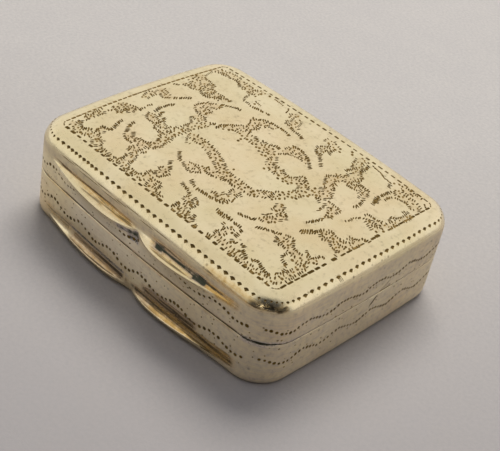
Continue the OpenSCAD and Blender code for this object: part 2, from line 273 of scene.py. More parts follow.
class Skin:
    """Collects surfaces into one mesh. The finish of a corner is its cut's tone, its tarnishing with painted
    shade, and its gold.
    """

    def __init__(self):
        self.points, self.faces, self.normals, self.finish, self.slots = [], [], [], [], []
        self.count = 0

    def cut(self, at, limits, rim, grid, marks, flip=False, finish=None, slot=OUTSIDE, holes=()):
        uv, deep, dark, faces, pit = engrave(rim, grid, marks, holes)
        n = normals_of(at, uv[:, 0], uv[:, 1], limits)
        if flip:
            faces = faces[:, ::-1]
            n = -n
        place = at(uv[:, 0], uv[:, 1]) - n * deep[:, None]
        corner = n[faces]
        tri = place[faces]
        flat = unit(np.cross(tri[:, 1] - tri[:, 0], tri[:, 2] - tri[:, 0]))
        corner[pit] = flat[pit][:, None, :]
        looks = np.zeros((len(faces), 3, 4))
        looks[..., 3] = 1
        looks[..., 0] = np.where(pit[:, None], dark[faces], 0)
        if finish is not None:
            tarnish_and_shade, gold = finish(place)
            looks[..., 1] = tarnish_and_shade[faces]
            looks[..., 2] = gold[faces]
        self.add(place, faces, corner.reshape(-1, 3), looks.reshape(-1, 4), [PIT if p else slot for p in pit])

    def add(self, place, faces, corner, looks, slots):
        self.points.append(place)
        self.faces += [[int(i) + self.count for i in f] for f in faces]
        self.normals.append(corner)
        self.finish.append(looks)
        self.slots += slots
        self.count += len(place)

    def rows(self, rows, slot, flip=False, closed=True, smooth=True):
        """Quads between rows of equal length, smooth along the rows."""
        m = len(rows[0])
        last = m if closed else m - 1
        place = np.concatenate([np.array(r) for r in rows])
        faces = []
        for k in range(len(rows) - 1):
            for i in range(last):
                j = (i + 1) % m
                f = [k * m + i, k * m + j, (k + 1) * m + j, (k + 1) * m + i]
                faces.append(f[::-1] if flip else f)
        quad = place[np.array(faces)]
        flat = unit(np.cross(quad[:, 2] - quad[:, 0], quad[:, 3] - quad[:, 1]))
        corner = np.repeat(flat, 4, 0)
        if smooth:
            grid = flat.reshape(len(rows) - 1, last, 3)
            before = np.roll(grid, 1, 1) if closed else np.concatenate([grid[:, :1], grid[:, :-1]], 1)
            after = np.roll(grid, -1, 1) if closed else np.concatenate([grid[:, 1:], grid[:, -1:]], 1)
            a, b = (grid + before).reshape(-1, 3), (grid + after).reshape(-1, 3)
            if flip:
                a, b = b, a
            corner = unit(np.stack([a, b, b, a], 1).reshape(-1, 3))
        looks = np.tile((0.0, 0.0, 0.0, 1.0), (len(faces) * 4, 1))
        self.add(place, faces, corner, looks, [slot] * len(faces))

    def make(self, name, materials):
        mesh = bpy.data.meshes.new(name)
        mesh.from_pydata((np.concatenate(self.points) * MM).tolist(), [], self.faces)
        for m in materials:
            mesh.materials.append(m)
        mesh.polygons.foreach_set("material_index", self.slots)
        mesh.polygons.foreach_set("use_smooth", [True] * len(self.faces))
        layer = mesh.color_attributes.new("finish", "FLOAT_COLOR", "CORNER")
        layer.data.foreach_set("color", np.concatenate(self.finish).astype(np.float32).ravel())
        mesh.normals_split_custom_set(np.concatenate(self.normals).tolist())
        mesh.update()
        return placed(name, mesh)


def placed(name, data):
    item = bpy.data.objects.new(name, data)
    bpy.context.scene.collection.objects.link(item)
    return item


# Shapes of single cuts, around their own centre: outline and bottom points
def cut_shape(kind, size, wide):
    a, b = size / 2, wide / 2
    if kind == "tick":
        return ([(-a, 0), (-a * 0.4, -b), (a * 0.5, -b * 0.85), (a, 0), (a * 0.5, b * 0.85), (-a * 0.4, b)],
                [(-a * 0.4, 0), (a * 0.5, 0)])
    if kind == "dot":
        return [(a * math.cos(k), b * math.sin(k)) for k in np.radians(range(0, 360, 60))], [(0, 0)]
    if kind == "tooth":
        return ([(-a, b * 0.15), (-a * 0.45, -b * 0.5), (0, -b), (a * 0.45, -b * 0.5), (a, b * 0.15),
                 (a * 0.4, b * 0.75), (0, b * 0.85), (-a * 0.4, b * 0.75)], [(-a * 0.3, 0), (a * 0.3, 0)])
    return ([(-a, 0), (-a * 0.75, -b), (a * 0.75, -b), (a, 0), (a * 0.75, b), (-a * 0.75, b)],
            [(-a * 0.7, 0), (a * 0.7, 0)])


def turned(points, angle, x, y):
    c, s = math.cos(angle), math.sin(angle)
    return [(x + c * p - s * q, y + s * p + c * q) for p, q in points]


class Cuts:
    """Cuts placed in a flat pattern, each kept clear of those before it."""

    def __init__(self):
        self.items, self.near = [], {}

    def put(self, kind, x, y, size, wide, angle, deep, dark, warp=None, room=None, clear=None):
        room = room or wide * 0.8
        clear = clear or room
        cell = (int(x * 2), int(y * 2))
        for i in range(cell[0] - 1, cell[0] + 2):
            for j in range(cell[1] - 1, cell[1] + 2):
                for p, q, r in self.near.get((i, j), ()):
                    if (p - x) ** 2 + (q - y) ** 2 < ((r + clear) / 2) ** 2:
                        return
        self.near.setdefault(cell, []).append((x, y, room))
        shape, low = cut_shape(kind, size, wide)
        shape, low = turned(shape, angle, x, y), turned(low, angle, x, y)
        if warp:
            shape, low = [warp(*p) for p in shape], [warp(*p) for p in low]
        if sum(p[0] * q[1] - q[0] * p[1] for p, q in zip(shape, shape[1:] + shape[:1])) < 0:
            shape = shape[::-1]
        self.items.append((shape, low, deep, dark))


# Materials: small helpers that add nodes to a tree
def shader(name):
    mat = bpy.data.materials.new(name)
    mat.use_nodes = True
    tree = mat.node_tree
    tree.nodes.clear()
    return mat, tree


def node(tree, kind, inputs=None, **props):
    n = tree.nodes.new("ShaderNode" + kind)
    for k, v in props.items():
        setattr(n, k, v)
    for k, v in (inputs or {}).items():
        if isinstance(v, bpy.types.NodeSocket):
            tree.links.new(v, n.inputs[k])
        else:
            n.inputs[k].default_value = v
    return n


def blend(tree, factor, a, b, mode="MIX"):
    return node(tree, "Mix", {0: factor, 6: a, 7: b}, data_type="RGBA", blend_type=mode).outputs[2]


def ramp(tree, value, lo, hi, to_lo=0.0, to_hi=1.0):
    return node(tree, "MapRange", {0: value, 1: lo, 2: hi, 3: to_lo, 4: to_hi}).outputs[0]


def maths(tree, op, first, *others):
    for v in others:
        first = node(tree, "Math", {0: first, 1: v}, operation=op).outputs[0]
    return first


def plus(tree, *values):
    return maths(tree, "ADD", *values)


def times(tree, *values):
    return maths(tree, "MULTIPLY", *values)


def toward(tree, way, aim):
    """How far a direction or place lies towards an aim."""
    return node(tree, "VectorMath", {0: way, 1: aim}, operation="DOT_PRODUCT").outputs["Value"]


def noise_at(tree, coord, scale, detail=2.0, rough=0.55):
    inputs = {"Vector": coord, "Scale": scale, "Detail": detail, "Roughness": rough}
    return node(tree, "TexNoise", inputs).outputs[0]


def drawn_out(tree, coord, scale, turn=(0.0, 0.0, 0.0), detail=2.0, rough=0.6):
    """Noise drawn out into lines."""
    place = node(tree, "Mapping", {"Vector": coord, "Rotation": turn, "Scale": scale}).outputs[0]
    return noise_at(tree, place, 1.0, detail, rough)


def object_place(tree):
    return node(tree, "TexCoord").outputs["Object"]


def finish_parts(tree):
    """The mesh's finish: tone of a cut, tarnishing with painted shade, and gold."""
    return node(tree, "SeparateColor", {0: node(tree, "VertexColor", layer_name="finish").outputs[0]}).outputs


def cover(tree, inputs, height, strength, deep):
    """The surface itself, with a fine relief."""
    bump = node(tree, "Bump", {"Strength": strength, "Distance": deep, "Height": height}).outputs[0]
    body = node(tree, "BsdfPrincipled", {**inputs, "Normal": bump})
    node(tree, "OutputMaterial", {"Surface": body.outputs[0]})


# Casts of the metal, what has settled on it, and a painted light for the front wall; the film, crust and dirt
# colours also paint shade
ROSY, GREENISH, PAINTED_WALL_LIGHT = (1.02, 0.955, 0.93, 1), (0.95, 0.975, 0.93, 1), (1.0, 0.92, 0.735, 1)
FILM_AND_SHADE, GOLDEN = (0.56, 0.475, 0.44, 1), (0.66, 0.385, 0.075, 1)
STREAK, CRUST_AND_SHADE = (0.075, 0.052, 0.022, 1), (0.068, 0.075, 0.042, 1)
DIRT_AND_SHADE, DRY_DIRT_AND_SHADE = (0.064, 0.038, 0.006, 1), (0.14, 0.087, 0.018, 1)


def tarnish_and_painted_light(t, coord, fine, colour, roughness):
    """Film, golden stains and a dark deposit as the finish says, film and deposit also carrying painted
    shade; a painted light on a stretch of front wall; and a satin flat.
    """
    tarnish_and_shade, gold = finish_parts(t)[1:3]
    along, out, high = node(t, "SeparateXYZ", {0: coord}).outputs
    # Painted light: a stretch of the front wall below the left lip is made lighter in colour
    painted_light_mask = times(t, ramp(t, out, -0.0126, -0.0118, 1.0, 0.0),
                   ramp(t, high, 0.0022, 0.0034), ramp(t, high, 0.0061, 0.0068, 1.0, 0.0),
                   ramp(t, along, -0.0105, -0.0075), ramp(t, along, -0.002, 0.008, 0.75, 0.1))
    colour = blend(t, painted_light_mask, colour, PAINTED_WALL_LIGHT)
    lines = maths(t, "SUBTRACT", drawn_out(t, coord, (240.0, 240.0, 6500.0), detail=3.0), 0.5)
    mottle = plus(t, maths(t, "SUBTRACT", fine, 0.5), times(t, lines, 1.3))
    uneven = plus(t, 1.0, times(t, mottle, 1.7))
    # The film and the dark crust also carry the painted shade of the seam, the notch and the creases
    film = ramp(t, times(t, tarnish_and_shade, uneven), 0.05, 0.8)
    colour = blend(t, times(t, film, 0.85), colour, FILM_AND_SHADE)
    yellow = ramp(t, times(t, gold, uneven), 0.1, 1.0)
    colour = blend(t, times(t, yellow, 0.8), colour, GOLDEN)
    streak = ramp(t, drawn_out(t, coord, (170.0, 2200.0, 4200.0), (0.0, 0.12, 0.0), rough=0.5), 0.52, 0.58)
    colour = blend(t, times(t, streak, ramp(t, gold, 0.3, 0.6), 0.8), colour, STREAK)
    deposit_and_shade = ramp(t, plus(t, tarnish_and_shade, times(t, mottle, 0.6)), 0.78, 0.95)
    colour = blend(t, deposit_and_shade, colour, CRUST_AND_SHADE)
    matt = maths(t, "SUBTRACT", ramp(t, tarnish_and_shade, 0.04, 0.2, 0.0, 0.42), ramp(t, tarnish_and_shade, 0.4, 0.6, 0.0, 0.34))
    matt = times(t, matt, ramp(t, gold, 0.3, 0.6, 1.0, 0.15))
    satin = ramp(t, high, 0.00912, 0.00945, 0.0, 0.15)
    roughness = plus(t, roughness, matt, times(t, deposit_and_shade, 0.4), satin)
    shine = times(t, ramp(t, film, 0.0, 1.0, 1.0, 0.5), ramp(t, deposit_and_shade, 0.0, 1.0, 1.0, 0.3))
    return colour, roughness, shine


def metal(name, base, pale, rough, marked=False, dull=(0.20, 0.15, 0.075, 1)):
    """Old polished metal: cloudy colour, fine hairlines, pin pricks, and where it is marked, tarnishing with
    painted shade and a painted light on the front wall.
    """
    mat, t = shader(name)
    coord = object_place(t)
    cloud = noise_at(t, coord, 230.0, 4.0)
    fine = noise_at(t, coord, 1900.0, 3.0, 0.65)
    broad = noise_at(t, coord, 130.0)
    hair = plus(t, drawn_out(t, coord, (260.0, 9000.0, 9000.0), (0.3, 0.2, 0.65)),
                drawn_out(t, coord, (320.0, 8000.0, 8000.0), (0.1, 0.5, -0.5)))
    prick = node(t, "TexVoronoi", {"Vector": coord, "Scale": 1150.0}).outputs["Distance"]
    prick = times(t, ramp(t, prick, 0.09, 0.2, 1.0, 0.0), ramp(t, noise_at(t, coord, 420.0), 0.52, 0.62))
    colour = blend(t, ramp(t, cloud, 0.35, 0.68), base, pale)
    colour = blend(t, ramp(t, broad, 0.35, 0.5, 0.45, 0.0), colour, ROSY, "MULTIPLY")
    colour = blend(t, ramp(t, broad, 0.5, 0.65, 0.0, 0.45), colour, GREENISH, "MULTIPLY")
    colour = blend(t, times(t, ramp(t, fine, 0.55, 0.8), 0.35), colour, dull)
    colour = blend(t, times(t, prick, 0.6), colour, dull)
    roughness = plus(t, ramp(t, fine, 0.3, 0.75, rough - 0.06, rough + 0.12),
                     ramp(t, cloud, 0.3, 0.7, -0.03, 0.05))
    shine = 1.0
    if marked:
        colour, roughness, shine = tarnish_and_painted_light(t, coord, fine, colour, roughness)
    height = plus(t, hair, times(t, prick, -1.2), times(t, noise_at(t, coord, 520.0), 1.5))
    cover(t, {"Base Color": colour, "Metallic": shine, "Roughness": roughness}, height, 0.35, 0.000012)
    return mat


def oxide(name, thin):
    """Old soil and oxide in the cuts, thinner in the pale ones; the same colours paint shade on the seam's
    faces.
    """
    mat, t = shader(name)
    fine = noise_at(t, object_place(t), 2400.0, 3.0, 0.6)
    # These dark colours are also the seam faces' painted shade
    colour = blend(t, ramp(t, fine, 0.3, 0.7), DIRT_AND_SHADE, DRY_DIRT_AND_SHADE)
    colour = blend(t, ramp(t, finish_parts(t)[0], 0.5, 0.95), thin, colour)
    cover(t, {"Base Color": colour, "Roughness": 0.85, "Specular IOR Level": 0.12}, fine, 0.3, 0.00001)
    return mat


OXIDE_AND_SEAM_SHADE = oxide("cut_oxide_and_seam_shade", (0.36, 0.235, 0.075, 1))
OXIDE_GILT = oxide("gilt_cut", (0.30, 0.17, 0.04, 1))
SILVER = metal("old_silver", (0.82, 0.69, 0.425, 1), (0.92, 0.80, 0.545, 1), 0.17, marked=True)
SILVER_PLAIN = metal("hinge_silver", (0.62, 0.54, 0.38, 1), (0.74, 0.67, 0.50, 1), 0.30)
GILT = metal("gilt_inside", (0.78, 0.52, 0.17, 1), (0.86, 0.62, 0.25, 1), 0.26, dull=(0.36, 0.20, 0.05, 1))
WIRE = metal("hinge_wire", (0.48, 0.44, 0.36, 1), (0.60, 0.56, 0.46, 1), 0.34)

# Tarnish, golden stains and painted shade on the front: from and to along x, low and high, dark, gold, rise
# per millimetre
STAINS_AND_SHADE = [
    # Deposit, gold and painted shade in the lid's right crease, and gold on the edge above it
    (2.4, 8.3, 7.2, 7.52, 0.9, 0, 0), (2.2, 3.6, 7.1, 7.62, 1, 0, 0), (7.0, 8.8, 7.02, 7.72, 1, 0, 0),
    (1.7, 9.2, 6.92, 7.9, 0, 0.6, 0), (2.8, 8.6, 7.4, 7.95, 0.55, 0.3, 0),
    (8.3, 12.2, 6.9, 7.65, 0.2, 0.95, 0.03), (8.4, 10.9, 7.3, 7.46, 1, 0.2, 0.03),
    (8.0, 16.0, 8.2, 8.95, 0.05, 0.62, 0),
    # A painted shadow at the lid's notch, and deposit, gold and painted shade in its left crease
    (-2.4, 0.5, 6.3, 6.98, 0.74, 0, 0.1), (-0.9, 0.6, 5.95, 7.0, 0.9, 0, 0.1),
    (-11.5, -0.6, 6.98, 7.5, 0.02, 0.28, 0), (-8.0, -0.6, 7.1, 7.45, 0.25, 0.8, 0),
    (-9.0, -0.6, 7.42, 7.68, 0.6, 0.4, 0), (-12.0, -6.0, 7.5, 7.64, 0.5, 0.6, 0),
    (-11.0, -0.6, 7.34, 7.62, 0.45, 0.95, 0),
    # Tarnish, gold and a painted dark reflection on the base's lip
    (-8.5, -0.3, 0.6, 1.7, 0.6, 0.65, 0), (-9.0, -0.3, 1.75, 2.05, 0.9, 0.2, 0),
    (-13.0, -8.5, 1.2, 2.2, 0.05, 0.5, 0), (0.2, 4.5, 0.6, 1.7, 0.6, 0.65, 0),
    (1.6, 8.6, 1.4, 2.45, 0.66, 0.6, 0.05), (2.6, 12.8, 0.55, 1.7, 0.3, 1, 0.04),
    (2.0, 9.0, 0.98, 1.2, 0.95, 0.3, 0.03), (2.2, 6.8, 2.1, 2.8, 0.62, 0.4, 0),
    # Gold along the seam, and painted shade at the seam's near corner
    (-13.0, 12.5, 4.68, 4.82, 0, 0.4, 0), (13.0, 15.0, 4.72, 5.03, 1, 0, 0)]
# Heights of the seam line, which gets painted shade and gold
SEAM_LINE = (4.85, 4.99, 0.05)


def film_and_seam_shade(x, y, z, reach):
    """Thin film on the walls, partly real tarnishing and partly painted shade where it grows towards the
    right, none on the lips, and painted shade along the seam.
    """
    side = rise(x, 12, 15)
    # The film grows from left to right: partly tarnish, partly painted shade
    wall = np.interp(x, [-9, -1, 6, 11], [0.12, 0.17, 0.23, 0.33])
    dark = mixed(mixed(wall, 0.3, within(z, 7.3, 9, 0.4)), 0.36, side) * within(z, -1, 8.35, 0.3)
    dark *= 1 - within(reach, 0.06, 9, 0.08) * (within(z, 6.9, 8, 0.1) + within(z, 0, 1.5, 0.2))
    dark *= 1 - 0.6 * np.maximum(rise(-x, 14.2, 15.8), rise(y, 11.2, 12.4))
    away = side * rise(y, -9.5, -6.5)
    # Painted shade: a dark line along the seam, faint along most of the right side, and darker at the near
    # corner
    dark += mixed(0.42 * within(z, *SEAM_LINE), 0.03 * within(z, 4.7, 4.99, 0.05), away)
    return dark + within(z, 4.72, 5.03, 0.12) * within(x, 13.4, 20, 0.8) * within(y, -20, -11.2, 1.0)


def finish_and_shade_of(place):
    """How much film, deposit and gold each place on the outside has, with painted shade in the creases, the
    notch and along the seam, and a painted dark reflection on the base's lip.
    """
    x, y, z = place.T
    front, upper = y < -10.5, z > SEAM
    reach = -y - HY - BOW * (1 - (x / HX) ** 2)
    lip = lobe(s_front(np.clip(x, -CX, CX))) * np.where(upper, LID_OUT, BASE_OUT)
    dark = film_and_seam_shade(x, y, z, reach)
    gold = np.where(upper, 0.05, 0.15) * within(z, -1, 7.4, 0.5) * front * rise(-x, -7, 1)
    gold = np.maximum(gold, 0.9 * within(z, *SEAM_LINE) * front * rise(-x, -14, -12))
    below = upper & (z < SEAM + LID_UP - 0.03)
    bare = rise(lip, 0.25, 0.65) * np.where(upper, 0.16, 0.03)
    inner = np.where((lip > 0.25) & ~below, rise(lip - bare - reach, -0.04, 0.06), 1)
    for x0, x1, z0, z1, grime_and_shade, glow, climb in STAINS_AND_SHADE:
        edge = 0.12 if grime_and_shade > 0.88 else 0.3
        much = within(x, x0, x1, min(1.2, 0.3 * (x1 - x0))) * front * inner
        much = much * within(z - climb * (x - x0), z0, z1, min(edge, 0.5 * (z1 - z0)))
        dark = np.maximum(dark, grime_and_shade * much)
        gold = np.maximum(gold, glow * much)
    return np.minimum(dark, 1), gold


